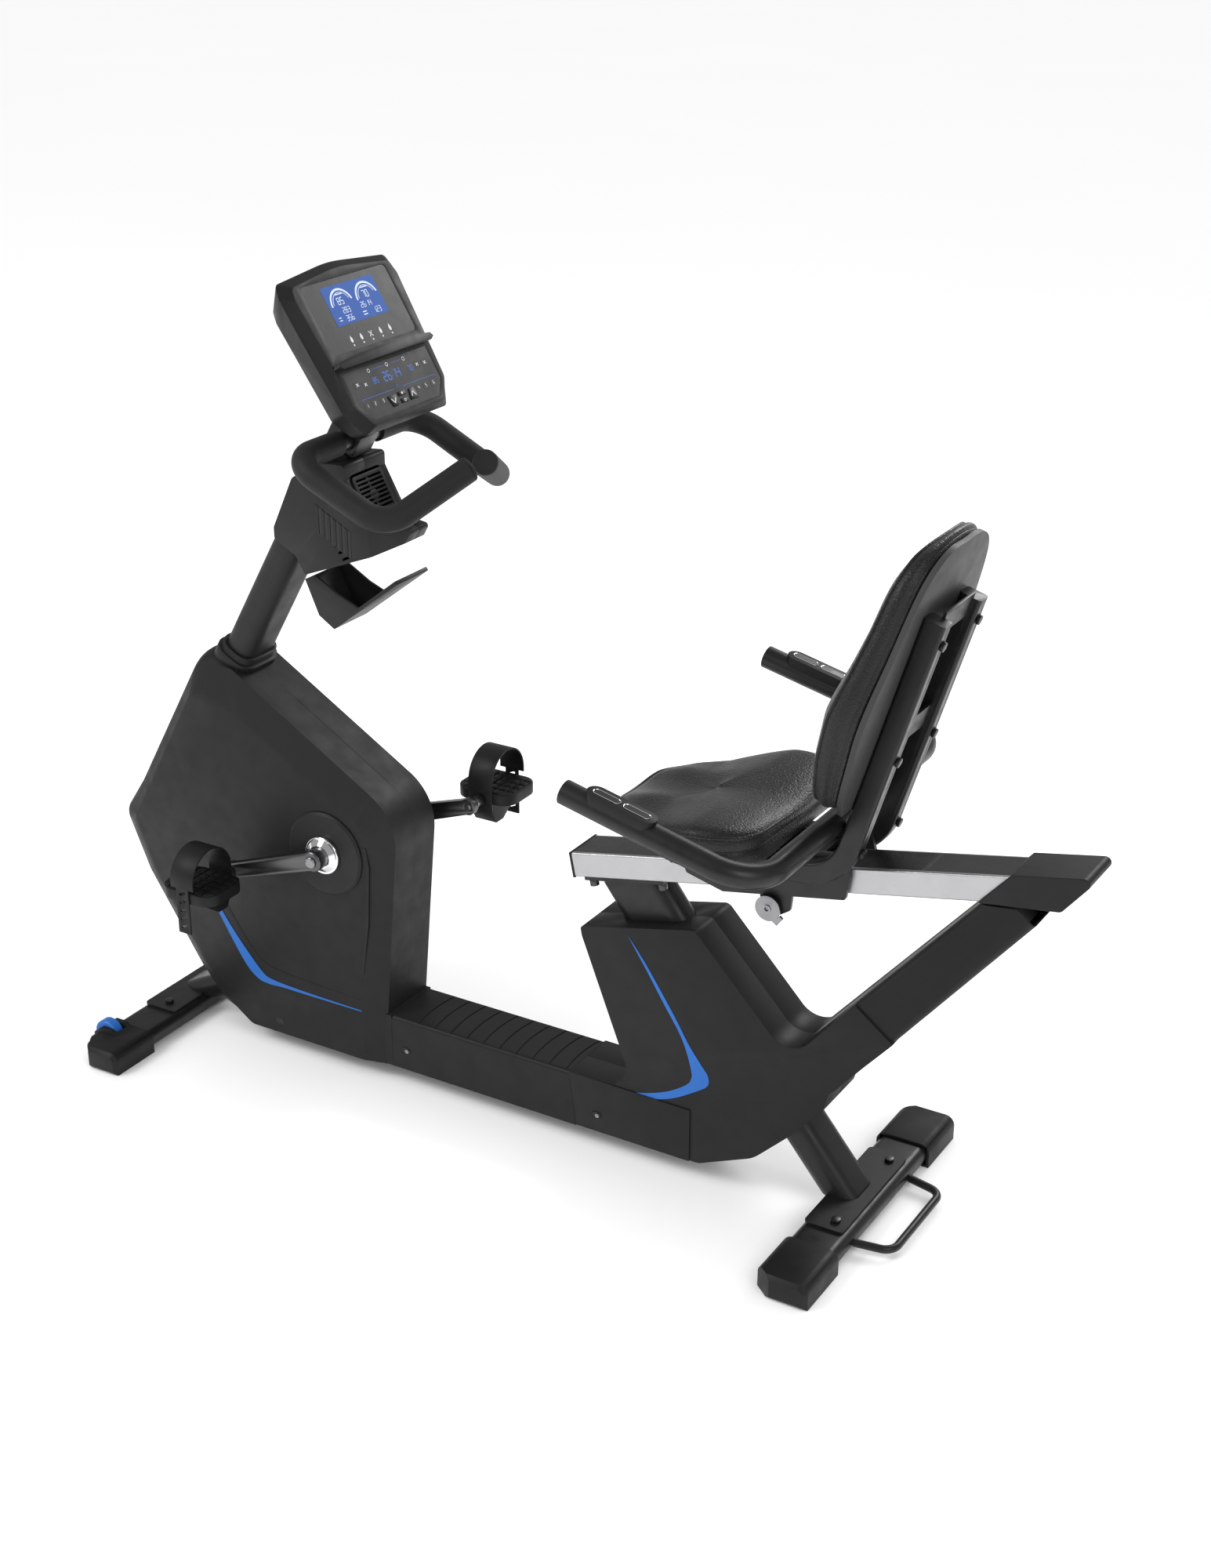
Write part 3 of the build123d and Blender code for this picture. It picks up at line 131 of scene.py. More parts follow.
def coated_steel(name, color, roughness=0.38):
    """Powder-coated steel: orange peel under a satin skin."""
    material, nodes, links, shader, place = node_tree(name)
    tint(nodes, links, shader, color, noise(nodes, links, place, 0.08, 3), 0.85, 1.2)
    shader.inputs["Specular IOR Level"].default_value = 0.34
    peel = noise(nodes, links, place, 1.8 * MM, 1)
    links.new(spread(nodes, links, noise(nodes, links, place, 0.02, 4), roughness - 0.05, roughness + 0.1),
              shader.inputs["Roughness"])
    shader.inputs["Coat Weight"].default_value = 0.15
    shader.inputs["Coat Roughness"].default_value = 0.3
    relief(nodes, links, shader, [(peel, 0.06 * MM)])
    return material


def metal(name, color, roughness, stretch=(1, 1, 1), scratch=0.02 * MM):
    """Bare metal with fine drawn lines along one axis."""
    material, nodes, links, shader, place = node_tree(name)
    shader.inputs["Metallic"].default_value = 1.0
    lines = noise(nodes, links, place, 0.6 * MM, 4, stretch)
    tint(nodes, links, shader, color, noise(nodes, links, place, 0.05, 3), 0.9, 1.06)
    links.new(spread(nodes, links, lines, roughness * 0.75, roughness * 1.3), shader.inputs["Roughness"])
    relief(nodes, links, shader, [(lines, scratch)])
    return material


PEBBLE = 3 * MM                # size of the vinyl's grain
PEBBLE_DEPTH = 0.8 * MM


def vinyl(name, color):
    """Leather-grain vinyl: pebbles of about 3 mm, finer creases between them, a soft sheen."""
    material, nodes, links, shader, place = node_tree(name)
    warp = noise(nodes, links, place, 6 * MM, 2)
    cells = nodes.new("ShaderNodeTexVoronoi")
    cells.feature = "SMOOTH_F1"
    cells.inputs["Scale"].default_value = 1 / PEBBLE
    cells.inputs["Smoothness"].default_value = 0.35
    shifted = nodes.new("ShaderNodeVectorMath")
    shifted.operation = "MULTIPLY_ADD"
    shifted.inputs[1].default_value = (1, 1, 1)
    scaled = nodes.new("ShaderNodeMath")
    scaled.operation = "MULTIPLY"
    scaled.inputs[1].default_value = 4 * MM
    links.new(warp, scaled.inputs[0])
    links.new(place, shifted.inputs[0])
    links.new(scaled.outputs[0], shifted.inputs[2])
    links.new(shifted.outputs[0], cells.inputs["Vector"])
    creases = noise(nodes, links, place, 0.9 * MM, 3)
    tint(nodes, links, shader, color, noise(nodes, links, place, 0.07, 3), 0.8, 1.25)
    links.new(spread(nodes, links, creases, 0.3, 0.44), shader.inputs["Roughness"])
    shader.inputs["Sheen Weight"].default_value = 0.05
    shader.inputs["Specular IOR Level"].default_value = 0.24
    shader.inputs["Coat Weight"].default_value = 0.12
    shader.inputs["Coat Roughness"].default_value = 0.35
    relief(nodes, links, shader, [(cells.outputs["Distance"], -PEBBLE_DEPTH), (creases, 0.15 * MM)])
    return material


def foam(name, color):
    """Closed-cell grip foam: dull, with open pores."""
    material, nodes, links, shader, place = node_tree(name)
    pores = noise(nodes, links, place, 0.8 * MM, 4)
    tint(nodes, links, shader, color, noise(nodes, links, place, 0.03, 3), 0.8, 1.3)
    links.new(spread(nodes, links, pores, 0.55, 0.72), shader.inputs["Roughness"])
    shader.inputs["Sheen Weight"].default_value = 0.03
    shader.inputs["Specular IOR Level"].default_value = 0.3
    relief(nodes, links, shader, [(pores, 0.18 * MM)])
    return material


def printed(name, color, glow=0.0):
    """Ink or lit segment: a faint mottled tone, lit from behind where glow is above zero."""
    material, nodes, links, shader, place = node_tree(name)
    tone = tint(nodes, links, shader, color, noise(nodes, links, place, 3 * MM, 2), 0.93, 1.05)
    shader.inputs["Roughness"].default_value = 0.45
    shader.inputs["Specular IOR Level"].default_value = 0.15
    if glow:
        links.new(tone, shader.inputs["Emission Color"])
        shader.inputs["Emission Strength"].default_value = glow
    return material


DARK = moulded("dark_plastic", (0.0085, 0.0085, 0.0087), 0.5)
HOUSING = moulded("housing_plastic", (0.0125, 0.0125, 0.0128), 0.48)
TREAD = moulded("pedal_plastic", (0.007, 0.007, 0.0072), 0.5, 1.1 * MM, 0.09 * MM)
GREY = moulded("grey_panel", (0.04, 0.04, 0.041), 0.5, 1.3 * MM, 0.14 * MM)
GLOSS = moulded("gloss_black", (0.01, 0.01, 0.0105), 0.3, 2 * MM, 0.01 * MM, 0.15)
SHEET = moulded("keypad_sheet", (0.01, 0.01, 0.0105), 0.42, 0.5 * MM, 0.02 * MM)
LENS = moulded("display_window", (0.012, 0.012, 0.0125), 0.3, 4 * MM, 0.004 * MM)
BLUE = moulded("blue_plastic", (0.02, 0.12, 0.42), 0.42)
BELT = moulded("belt_rubber", (0.012, 0.012, 0.012), 0.7, 0.5 * MM, 0.1 * MM)
STEEL = coated_steel("black_steel", (0.006, 0.006, 0.0062))
CRANK_PAINT = metal("crank_paint", (0.13, 0.13, 0.132), 0.34)
ALUMINIUM = metal("satin_aluminium", (0.5, 0.5, 0.51), 0.42, (0.04, 1, 1))
CHROME = metal("chrome", (0.82, 0.83, 0.84), 0.1, scratch=0.002 * MM)
DARK_ZINC = metal("dark_zinc", (0.09, 0.09, 0.092), 0.34)
ZINC = metal("zinc_steel", (0.3, 0.3, 0.31), 0.3)
CAST = metal("cast_grey", (0.25, 0.25, 0.26), 0.5)
VINYL = vinyl("black_vinyl", (0.0075, 0.0075, 0.0077))
FOAM = foam("grip_foam", (0.0085, 0.0085, 0.0087))
WHITE_INK = printed("white_ink", (0.6, 0.6, 0.61))
GREY_INK = printed("grey_ink", (0.035, 0.035, 0.036))
BLUE_INK = printed("blue_ink", (0.04, 0.09, 0.3), 0.1)
LIT_SCREEN = printed("lit_screen", (0.012, 0.07, 0.3), 0.03)
LIT_DIGIT = printed("lit_digit", (0.5, 0.56, 0.68), 0.05)
BLUE_LED = printed("blue_led", (0.05, 0.12, 0.4), 0.25)


# ---- mesh helpers --------------------------------------------------------------------------------

def smooth_group():
    """Geometry nodes that shade smooth, and keep edges above 32 degrees sharp."""
    group = bpy.data.node_groups.new("smooth_by_angle", "GeometryNodeTree")
    group.interface.new_socket("Geometry", in_out="INPUT", socket_type="NodeSocketGeometry")
    group.interface.new_socket("Geometry", in_out="OUTPUT", socket_type="NodeSocketGeometry")
    nodes, links = group.nodes, group.links
    start, end = nodes.new("NodeGroupInput"), nodes.new("NodeGroupOutput")
    angle = nodes.new("GeometryNodeInputMeshEdgeAngle")
    above = nodes.new("FunctionNodeCompare")
    above.data_type = "FLOAT"
    above.operation = "GREATER_THAN"
    above.inputs[1].default_value = math.radians(32)
    faces, edges = nodes.new("GeometryNodeSetShadeSmooth"), nodes.new("GeometryNodeSetShadeSmooth")
    faces.domain, edges.domain = "FACE", "EDGE"
    edges.inputs["Shade Smooth"].default_value = False
    links.new(start.outputs[0], faces.inputs["Geometry"])
    links.new(angle.outputs["Unsigned Angle"], above.inputs[0])
    links.new(faces.outputs[0], edges.inputs["Geometry"])
    links.new(above.outputs[0], edges.inputs["Selection"])
    links.new(edges.outputs[0], end.inputs[0])
    return group


SMOOTH = smooth_group()


def soften(piece, bevel, segments=2):
    """Adds a rounded edge of this width in millimetres, and smooth shading."""
    if bevel:
        edge = piece.modifiers.new("edge", "BEVEL")
        edge.width = bevel * MM
        edge.segments = segments
        edge.limit_method = "ANGLE"
        edge.angle_limit = math.radians(38)
    shade = piece.modifiers.new("shade", "NODES")
    shade.node_group = SMOOTH


def dress(node, material, bevel=0.0, segments=2):
    """Gives a carried-over CAD node its finish and its softened edges."""
    piece = frame["nodes"][node]
    mesh = piece.data
    mesh.materials.clear()
    mesh.materials.append(material)
    mesh.polygons.foreach_set("material_index", [0] * len(mesh.polygons))
    if "custom_normal" in mesh.attributes:
        mesh.attributes.remove(mesh.attributes["custom_normal"])
    weld = piece.modifiers.new("weld", "WELD")
    weld.merge_threshold = 0.01 * MM
    if bevel:
        flat = piece.modifiers.new("flat", "DECIMATE")
        flat.decimate_type = "DISSOLVE"
        flat.angle_limit = math.radians(0.6)
    soften(piece, bevel, segments)


def turn_outward(mesh):
    """Points every face of a closed mesh outward."""
    shape = bmesh.new()
    shape.from_mesh(mesh)
    bmesh.ops.recalc_face_normals(shape, faces=shape.faces)
    shape.to_mesh(mesh)
    shape.free()


def new_piece(name, points, faces, material, body, slot):
    """Mesh object riding on a body."""
    mesh = bpy.data.meshes.new(name)
    mesh.from_pydata([tuple(p) for p in points], [], faces)
    turn_outward(mesh)
    mesh.materials.append(material)
    mesh.update()
    piece = bpy.data.objects.new(name, mesh)
    bpy.context.scene.collection.objects.link(piece)
    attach(piece, body)
    return piece


def curve_through(points, steps=8):
    """Catmull-Rom samples through a few points, from the first to the last."""
    pts = [np.array(p, float) for p in points]
    out = []
    for i in range(len(pts) - 1):
        a, b, c, d = (pts[min(max(i + k - 1, 0), len(pts) - 1)] for k in range(4))
        for s in range(steps):
            t = s / steps
            out.append(0.5 * (2 * b + (c - a) * t + (2 * a - 5 * b + 4 * c - d) * t * t
                              + (3 * b - a - 3 * c + d) * t ** 3))
    return out + pts[-1:]


def rounded(u0, u1, v0, v1, radius, steps=5):
    """Outline of a rounded rectangle."""
    out = []
    for cu, cv, start in ((u1 - radius, v1 - radius, 0), (u0 + radius, v1 - radius, 90),
                          (u0 + radius, v0 + radius, 180), (u1 - radius, v0 + radius, 270)):
        for a in np.radians(np.linspace(start, start + 90, steps)):
            out.append((cu + radius * math.cos(a), cv + radius * math.sin(a)))
    return out


def oval(x, z, wide, high):
    """Outline of an ellipse from its middle and half its width and height."""
    return [(x + wide * math.cos(a), z + high * math.sin(a))
            for a in np.linspace(0, 2 * math.pi, 33)[:-1]]


def prism(outline, place, low, high):
    """(points, faces) of an outline raised from low to high; place(u, v, w) gives the 3-D point."""
    count = len(outline)
    points = [place(u, v, low) for u, v in outline] + [place(u, v, high) for u, v in outline]
    faces = [tuple(reversed(range(count))), tuple(range(count, 2 * count))]
    faces += [(i, (i + 1) % count, count + (i + 1) % count, count + i) for i in range(count)]
    return points, faces


def merged(parts):
    """Joins several (points, faces) pairs."""
    points, faces = [], []
    for more, loops in parts:
        start = len(points)
        points += more
        faces += [tuple(start + i for i in loop) for loop in loops]
    return points, faces


def swept(path, radius, sides=10):
    """(points, faces) of a round cord along a closed path."""
    path = [Vector(p) for p in path]
    count = len(path)
    points, faces = [], []
    up = Vector((0, 0, 1))
    for i, p in enumerate(path):
        way = (path[(i + 1) % count] - path[i - 1]).normalized()
        across = way.cross(up)
        across = across.normalized() if across.length > 1e-3 else Vector((1, 0, 0))
        normal = across.cross(way).normalized()
        up = normal
        for k in range(sides):
            a = 2 * math.pi * k / sides
            points.append(p + across * radius * math.cos(a) + normal * radius * math.sin(a))
    for i in range(count):
        j = (i + 1) % count
        for k in range(sides):
            m = (k + 1) % sides
            faces.append((i * sides + k, i * sides + m, j * sides + m, j * sides + k))
    return points, faces


# ---- carried-over CAD nodes ----------------------------------------------------------------------

FINISH = {
    # node: (material, edge width in mm)
    "main_frame": (STEEL, 0), "front_stabiliser": (STEEL, 0), "rear_stabiliser": (STEEL, 0),
    "front_end_caps": (DARK, 1.2), "rear_end_caps": (DARK, 1.2), "lift_handle": (STEEL, 0),
    "frame_bolts": (DARK_ZINC, 0.5), "shroud_left": (DARK, 0), "shroud_right": (DARK, 0),
    "mast_collar": (DARK, 1.2), "crank_discs": (HOUSING, 0), "step_cover": (DARK, 0),
    "rear_cover_left": (DARK, 3.5), "rear_cover_right": (DARK, 3.5), "seat_rail": (ALUMINIUM, 0),
    "rail_top_strip": (GLOSS, 0), "rail_end_caps": (DARK, 0.8), "crank_spindle": (ZINC, 0),
    "crank_collars": (CHROME, 0), "crank_left": (CRANK_PAINT, 0.6), "crank_right": (CRANK_PAINT, 0.6),
    "pedal_axles": (ZINC, 0.4), "pedal_left": (TREAD, 0.8), "pedal_right": (TREAD, 0.8),
    "strap_left": (TREAD, 0.4), "strap_right": (TREAD, 0.4), "drive_pulley": (DARK, 0),
    "drive_belt": (BELT, 0), "bearings": (ZINC, 0), "flywheel": (CAST, 0), "flywheel_shaft": (ZINC, 0),
    "brake_magnet": (CAST, 0), "brake_motor": (DARK, 0.5), "console_mast": (HOUSING, 0),
    "handlebar_clamp": (STEEL, 0.8), "handlebar": (STEEL, 0), "handlebar_grips": (FOAM, 0),
    "mast_housing_left": (HOUSING, 1.6), "mast_housing_right": (HOUSING, 1.6),
    "fan_grille": (DARK, 0.4), "fan_rotor": (DARK, 0), "bottle_holder": (HOUSING, 1.4),
    "console_front": (DARK, 1.2), "console_back": (HOUSING, 2.0), "console_panel": (SHEET, 0),
    "display_lens": (LENS, 0), "key_down": (SHEET, 0.3), "key_up": (SHEET, 0.3),
    "key_stop": (SHEET, 0.3), "key_enter": (SHEET, 0.3), "wheel_left": (BLUE, 0),
    "wheel_right": (BLUE, 0), "seat_frame": (STEEL, 0.6), "seat_lever": (ZINC, 0.3),
    "seat_handlebar": (STEEL, 0), "pulse_grips": (DARK, 1.5), "seat_bolts": (STEEL, 0.8),
    "back_shell": (GREY, 1.5),
}


def dress_frame():
    for node, (material, bevel) in FINISH.items():
        dress(node, material, bevel)


# ---- cushions ------------------------------------------------------------------------------------

def hull(points):
    """Convex outline of 2-D points, anticlockwise."""
    points = sorted(set((round(float(x), 6), round(float(y), 6)) for x, y in points))

    def half(chain):
        out = []
        for p in chain:
            while len(out) > 1 and ((out[-1][0] - out[-2][0]) * (p[1] - out[-2][1])
                                    - (out[-1][1] - out[-2][1]) * (p[0] - out[-2][0])) <= 0:
                out.pop()
            out.append(p)
        return out[:-1]

    return half(points) + half(points[::-1])


def reach(outline, centre, angle):
    """Distance from the centre to the outline in a direction."""
    dx, dy = math.cos(angle), math.sin(angle)
    for (ax, ay), (bx, by) in zip(outline, outline[1:] + outline[:1]):
        ex, ey = bx - ax, by - ay
        det = dx * ey - dy * ex
        if abs(det) < 1e-12:
            continue
        t = ((ax - centre[0]) * ey - (ay - centre[1]) * ex) / det
        s = ((ax - centre[0]) * dy - (ay - centre[1]) * dx) / det
        if t > 0 and -1e-9 <= s <= 1 + 1e-9:
            return t
    return 0.0


AROUND = 128


def outline_reach(flat_points, centre, rounding=3):
    """Reach in every direction, with the outline's corners rounded a little."""
    outline = hull(flat_points)
    radii = np.array([reach(outline, centre, 2 * math.pi * k / AROUND) for k in range(AROUND)])
    for _ in range(rounding):
        radii = (np.roll(radii, 1) + 2 * radii + np.roll(radii, -1)) / 4
    return radii


def evened(mesh, move, rounds=40):
    """Averages each point's move with its neighbours', so that the cover swells without folds."""
    ends = np.array([edge.vertices[:] for edge in mesh.edges])
    ends = np.vstack([ends, ends[:, ::-1]])
    count = np.bincount(ends[:, 0], minlength=len(move))[:, None]
    for _ in range(rounds):
        total = np.zeros_like(move)
        np.add.at(total, ends[:, 0], move[ends[:, 1]])
        move = 0.5 * move + 0.5 * total / count
    return move


CLOTH_FRAMES = 20
AIR_PRESSURE = 4.0


def inflate(piece, pinned, cap):
    """Blows the pad up as cloth held at its seams, and limits how far any point may move."""
    group = piece.vertex_groups.new(name="held")
    for index, weight in pinned.items():
        group.add([index], weight, "REPLACE")
    before = np.array([v.co for v in piece.data.vertices])
    cloth = piece.modifiers.new("cloth", "CLOTH")
    cloth.settings.vertex_group_mass = "held"
    cloth.settings.use_pressure = True
    cloth.settings.uniform_pressure_force = AIR_PRESSURE
    cloth.settings.effector_weights.gravity = 0
    cloth.settings.quality = 6
    cloth.settings.tension_stiffness = 25
    cloth.settings.bending_stiffness = 1.5
    cloth.point_cache.frame_start = 1
    cloth.point_cache.frame_end = CLOTH_FRAMES
    for step in range(1, CLOTH_FRAMES + 1):
        bpy.context.scene.frame_set(step)
    graph = bpy.context.evaluated_depsgraph_get()
    after = np.array([v.co for v in piece.evaluated_get(graph).data.vertices])
    bpy.context.scene.frame_set(1)
    piece.modifiers.remove(cloth)
    move = after - before
    size = np.linalg.norm(move, axis=1, keepdims=True)
    move = evened(piece.data, move * np.minimum(1.0, cap / np.maximum(size, 1e-9)))
    held = [index for index, weight in pinned.items() if weight == 1.0]
    move[held] = 0
    piece.data.vertices.foreach_set("co", (before + move).ravel())
    piece.data.update()


def finish_pad(piece):
    """Smooths a pad's surface."""
    smooth = piece.modifiers.new("round", "SUBSURF")
    smooth.levels = smooth.render_levels = 1
    piece.data.polygons.foreach_set("use_smooth", [True] * len(piece.data.polygons))


SEAT_CENTRE = (655.0, 0.0)
SEAT_BASE_Z = 497.0
SEAT_TILT = math.radians(5.7)
SEAT_TOP = [(505, 34), (530, 47), (570, 52), (610, 50), (650, 56), (700, 64), (745, 63), (790, 54)]


def seat_height(x, y):
    """Top of the seat pad above its tilted base, in millimetres: a rear crown and two thigh lobes."""
    height = float(np.interp(x, *zip(*SEAT_TOP)))
    rear = min(max((x - 600) / 90, 0), 1)
    height -= rear * 6 * math.exp(-(y / 62) ** 2)
    height += (1 - rear) * 5 * math.exp(-((abs(y) - 52) / 26) ** 2)
    return height


def on_seat(x, y, z):
    """Point of the seat's tilted base frame, in millimetres."""
    s, c = math.sin(SEAT_TILT), math.cos(SEAT_TILT)
    return at(c * x - s * z, y, SEAT_BASE_Z + s * x + c * z)


def flat_seat_points():
    """The CAD seat's points, seen square to its tilted base, in mm."""
    s, c = math.sin(SEAT_TILT), math.cos(SEAT_TILT)
    out = []
    for v in frame["nodes"]["seat_cushion"].data.vertices:
        x, z = (v.co.x - CRANK.x) / MM, v.co.z / MM - SEAT_BASE_Z
        out.append((c * x + s * z, v.co.y / MM))
    return out


# Each ring: inset from the outline in mm, share of the way out, share of the pad's height, added mm.
SEAT_RINGS = [(30, 0.3, 0.0, 6), (30, 0.7, 0.0, 2), (22, 1, 0.0, 1), (12, 1, 0.0, 2), (6, 1, 0.0, 6),
             (3, 1, 0.1, 9), (2.5, 1, 0.2, 10), (4, 1, 0.3, 10), (7, 1, 0.36, 9), (5, 1, 0.44, 8),
             (4, 1, 0.56, 6), (4, 1, 0.68, 4), (6, 1, 0.8, 2), (9, 1, 0.87, 2), (15, 1, 0.95, 1),
             (24, 1, 1.0, -1), (24, 0.9, 1.0, 0), (24, 0.78, 1.0, 0), (24, 0.64, 1.0, 0),
             (24, 0.5, 1.0, 0), (24, 0.36, 1.0, 0), (24, 0.22, 1.0, 0), (24, 0.1, 1.0, 0),
             (24, 0.03, 1.0, 0)]
SEAT_SEAMS = (8, 12)
BACK_RINGS = [(20, 0.3, 0.0, 0), (20, 0.7, 0.0, 0), (14, 1, 0.0, 0), (8, 1, 0.0, 1), (4, 1, 0.06, 2),
              (5, 1, 0.12, 2), (1, 1, 0.22, 2), (-1, 1, 0.38, 1), (-1, 1, 0.54, 0), (1, 1, 0.68, 0),
              (5, 1, 0.8, 0), (9, 1, 0.86, 0), (16, 1, 0.94, 0), (24, 1, 1.0, 0), (34, 1, 1.03, 0),
              (34, 0.86, 1.04, 0), (34, 0.72, 1.04, 0), (34, 0.58, 1.04, 0), (34, 0.44, 1.04, 0),
              (34, 0.3, 1.04, 0), (34, 0.16, 1.04, 0), (34, 0.04, 1.04, 0)]
BACK_SEAMS = (5, 10)


def pad_surface(table, radii, centre, top):
    """(points by ring, faces) in flat pad coordinates, with heights from top(x, y)."""
    rings, faces = [], []
    for inset, share, level, offset in table:
        ring = []
        for k in range(AROUND):
            a = 2 * math.pi * k / AROUND
            r = max((radii[k] - inset) * share, 0.5)
            x, y = centre[0] + r * math.cos(a), centre[1] + r * math.sin(a)
            ring.append((x, y, level * top(x, y) + offset))
        rings.append(ring)
    count = len(rings)
    for i in range(count - 1):
        for k in range(AROUND):
            m = (k + 1) % AROUND
            faces.append((i * AROUND + k, i * AROUND + m, (i + 1) * AROUND + m, (i + 1) * AROUND + k))
    faces += [tuple(reversed(range(AROUND))), tuple(range((count - 1) * AROUND, count * AROUND))]
    return rings, faces


BASE_RINGS, LOOSE_HOLD = 5, 0.12


def held_rings(rings, seams):
    """Vertex weights that hold a pad at its base and along its seams."""
    held = {}
    for i in range(len(rings)):
        weight = 1.0 if i < BASE_RINGS or i in seams else LOOSE_HOLD
        for k in range(AROUND):
            held[i * AROUND + k] = weight
    return held


def padded(name, node, table, seams, radii, centre, top, place, cap):
    """Upholstered pad with a crease and a piped edge, standing for a plain CAD pad."""
    rings, faces = pad_surface(table, radii, centre, top)
    points = [place(*p) for ring in rings for p in ring]
    pad = new_piece(name, points, faces, VINYL, "seat", "black_vinyl")
    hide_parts(node)
    inflate(pad, held_rings(rings, seams), cap)
    finish_pad(pad)
    crease, edge = ([pad.data.vertices[seam * AROUND + k].co.copy() for k in range(AROUND)]
                    for seam in seams)
    cord = new_piece(name + "_piping", *merged([swept(edge, 2.4 * MM), swept(crease, 1.4 * MM)]),
                     VINYL, "seat", "black_vinyl")
    soften(cord, 0)


BACK_ORIGIN = (959.6, 922.0)
BACK_LEAN = math.radians(16.93)
BACK_CENTRE = (0.0, -80.0)
SHELL_FRONT = 8.6              # front of the backrest's panel, from the plane behind it
BACK_THICKNESS = [(-270, 36), (-240, 42), (-190, 50), (-120, 52), (-60, 45), (0, 40), (60, 38),
                  (100, 34), (126, 26)]


def on_back(u, v, w):
    """Point of the backrest: across, up along it and forward, in millimetres."""
    s, c = math.sin(BACK_LEAN), math.cos(BACK_LEAN)
    return at(BACK_ORIGIN[0] + s * v - c * w, -u, BACK_ORIGIN[1] + c * v + s * w)


def back_thickness(u, v):
    """Depth of the back pad, with a shallow hollow along the spine, in mm."""
    depth = float(np.interp(v, *zip(*BACK_THICKNESS)))
    return depth - 5 * math.exp(-(u / 55) ** 2)


def flat_back_points():
    """The CAD back cushion's points, seen square to the backrest, in mm."""
    s, c = math.sin(BACK_LEAN), math.cos(BACK_LEAN)
    out = []
    for vertex in frame["nodes"]["back_cushion"].data.vertices:
        x = (vertex.co.x - CRANK.x) / MM - BACK_ORIGIN[0]
        z = vertex.co.z / MM - BACK_ORIGIN[1]
        out.append((-vertex.co.y / MM, s * x + c * z))
    return out


PAD_SWELL = 7 * MM             # most that the air moves a cover


def cushions():
    padded("seat_pad", "seat_cushion", SEAT_RINGS, SEAT_SEAMS,
           outline_reach(flat_seat_points(), SEAT_CENTRE), SEAT_CENTRE, seat_height, on_seat, PAD_SWELL)
    padded("back_pad", "back_cushion", BACK_RINGS, BACK_SEAMS,
           outline_reach(flat_back_points(), BACK_CENTRE), BACK_CENTRE, back_thickness,
           lambda u, v, w: on_back(u, v, w + SHELL_FRONT), PAD_SWELL)


# ---- shroud and cover details --------------------------------------------------------------------

PANEL_Y = 64.0                 # the shroud's side wall
COLUMN_Y = 51.6                # the rear cover's side wall
# Ribbons, and the shaded step above the front one: outlines on a side wall, (x, z) in mm.
STRIPE_TOP = [(-225, 234), (-198, 196), (-167, 159), (-143, 134), (-125, 126), (-70, 122), (54, 119.4)]
STRIPE_BOTTOM = [(54, 118), (-60, 117), (-103, 117), (-130, 115.5), (-155, 121), (-182, 148), (-233, 232)]
SHADE_TOP = [(-208, 242), (-183, 203), (-159, 170), (-140, 155), (-119, 148), (-60, 143), (55, 138)]
SHADE_BOTTOM = [(55, 135), (-60, 139), (-121, 143), (-143, 150), (-163, 166), (-188, 200), (-214, 239)]
PANEL_RIDGE = [(68, 407), (77, 409), (82, 376), (76, 276), (62, 186), (57, 186), (70, 276), (75, 376)]
DARK_SLOT = (-113, 52)
SWOOSH_OUTER = [(532.8, 377.5), (561, 342), (587, 304), (612, 266), (636, 226.4), (656, 200),
                (668, 184), (668, 168), (650, 153.1), (607.4, 127.5), (560, 113), (512.3, 107)]
SWOOSH_INNER = [(512, 111), (560, 122), (600, 137), (632, 158), (641, 172), (640.6, 184.5), (633, 212),
                (620.2, 241.3), (596, 279), (566, 327)]
SCREWS = [(130, 64), (480, 59)]
WELL_WIDE, WELL_HIGH, WELL_DEPTH = 8.0, 5.5, 0.35
RIM_RADIUS = 0.9 * MM
SCREW_RADIUS, SCREW_DEPTH = 3.4, 0.9
RIBBON_DEPTH = 0.5


def side_plate(outline, y, depth):
    """Thin plate on a side wall, in millimetres: (points, faces) for one side, from y outward."""
    outer = y + math.copysign(depth, y)
    inner = y - math.copysign(0.6, y)
    low, high = sorted((inner, outer))
    return prism(outline, lambda x, z, w: at(x, w, z), low, high)


def side_depths(points):
    """How far out the covers' sides lie at some (x, z) points: {(x, z, sign): y}, in mm."""
    graph = bpy.context.evaluated_depsgraph_get()
    depths = {}
    for x, z in points:
        for _, sign in SIDES:
            found, place, *_ = bpy.context.scene.ray_cast(graph, at(x, sign * 200, z),
                                                          Vector((0, -sign, 0)), distance=0.19)
            depths[x, z, sign] = place.y / MM if found else sign * PANEL_Y
    return depths


def screw_recess(x, z, y):
    """Rim, dark floor and screw head of an oval screw hole in a cover's side."""
    outline = oval(x, z, WELL_WIDE, WELL_HIGH)
    rim = swept([at(px, y + math.copysign(0.3, y), pz) for px, pz in outline], RIM_RADIUS, sides=8)
    head = oval(x + 2, z - 0.5, SCREW_RADIUS, SCREW_RADIUS)
    return rim, side_plate(outline, y, WELL_DEPTH), side_plate(head, y, SCREW_DEPTH)


def between(upper, lower, y, depth):
    """Thin plate on a side wall between two smooth lines."""
    return side_plate(curve_through(upper) + curve_through(lower), y, depth)


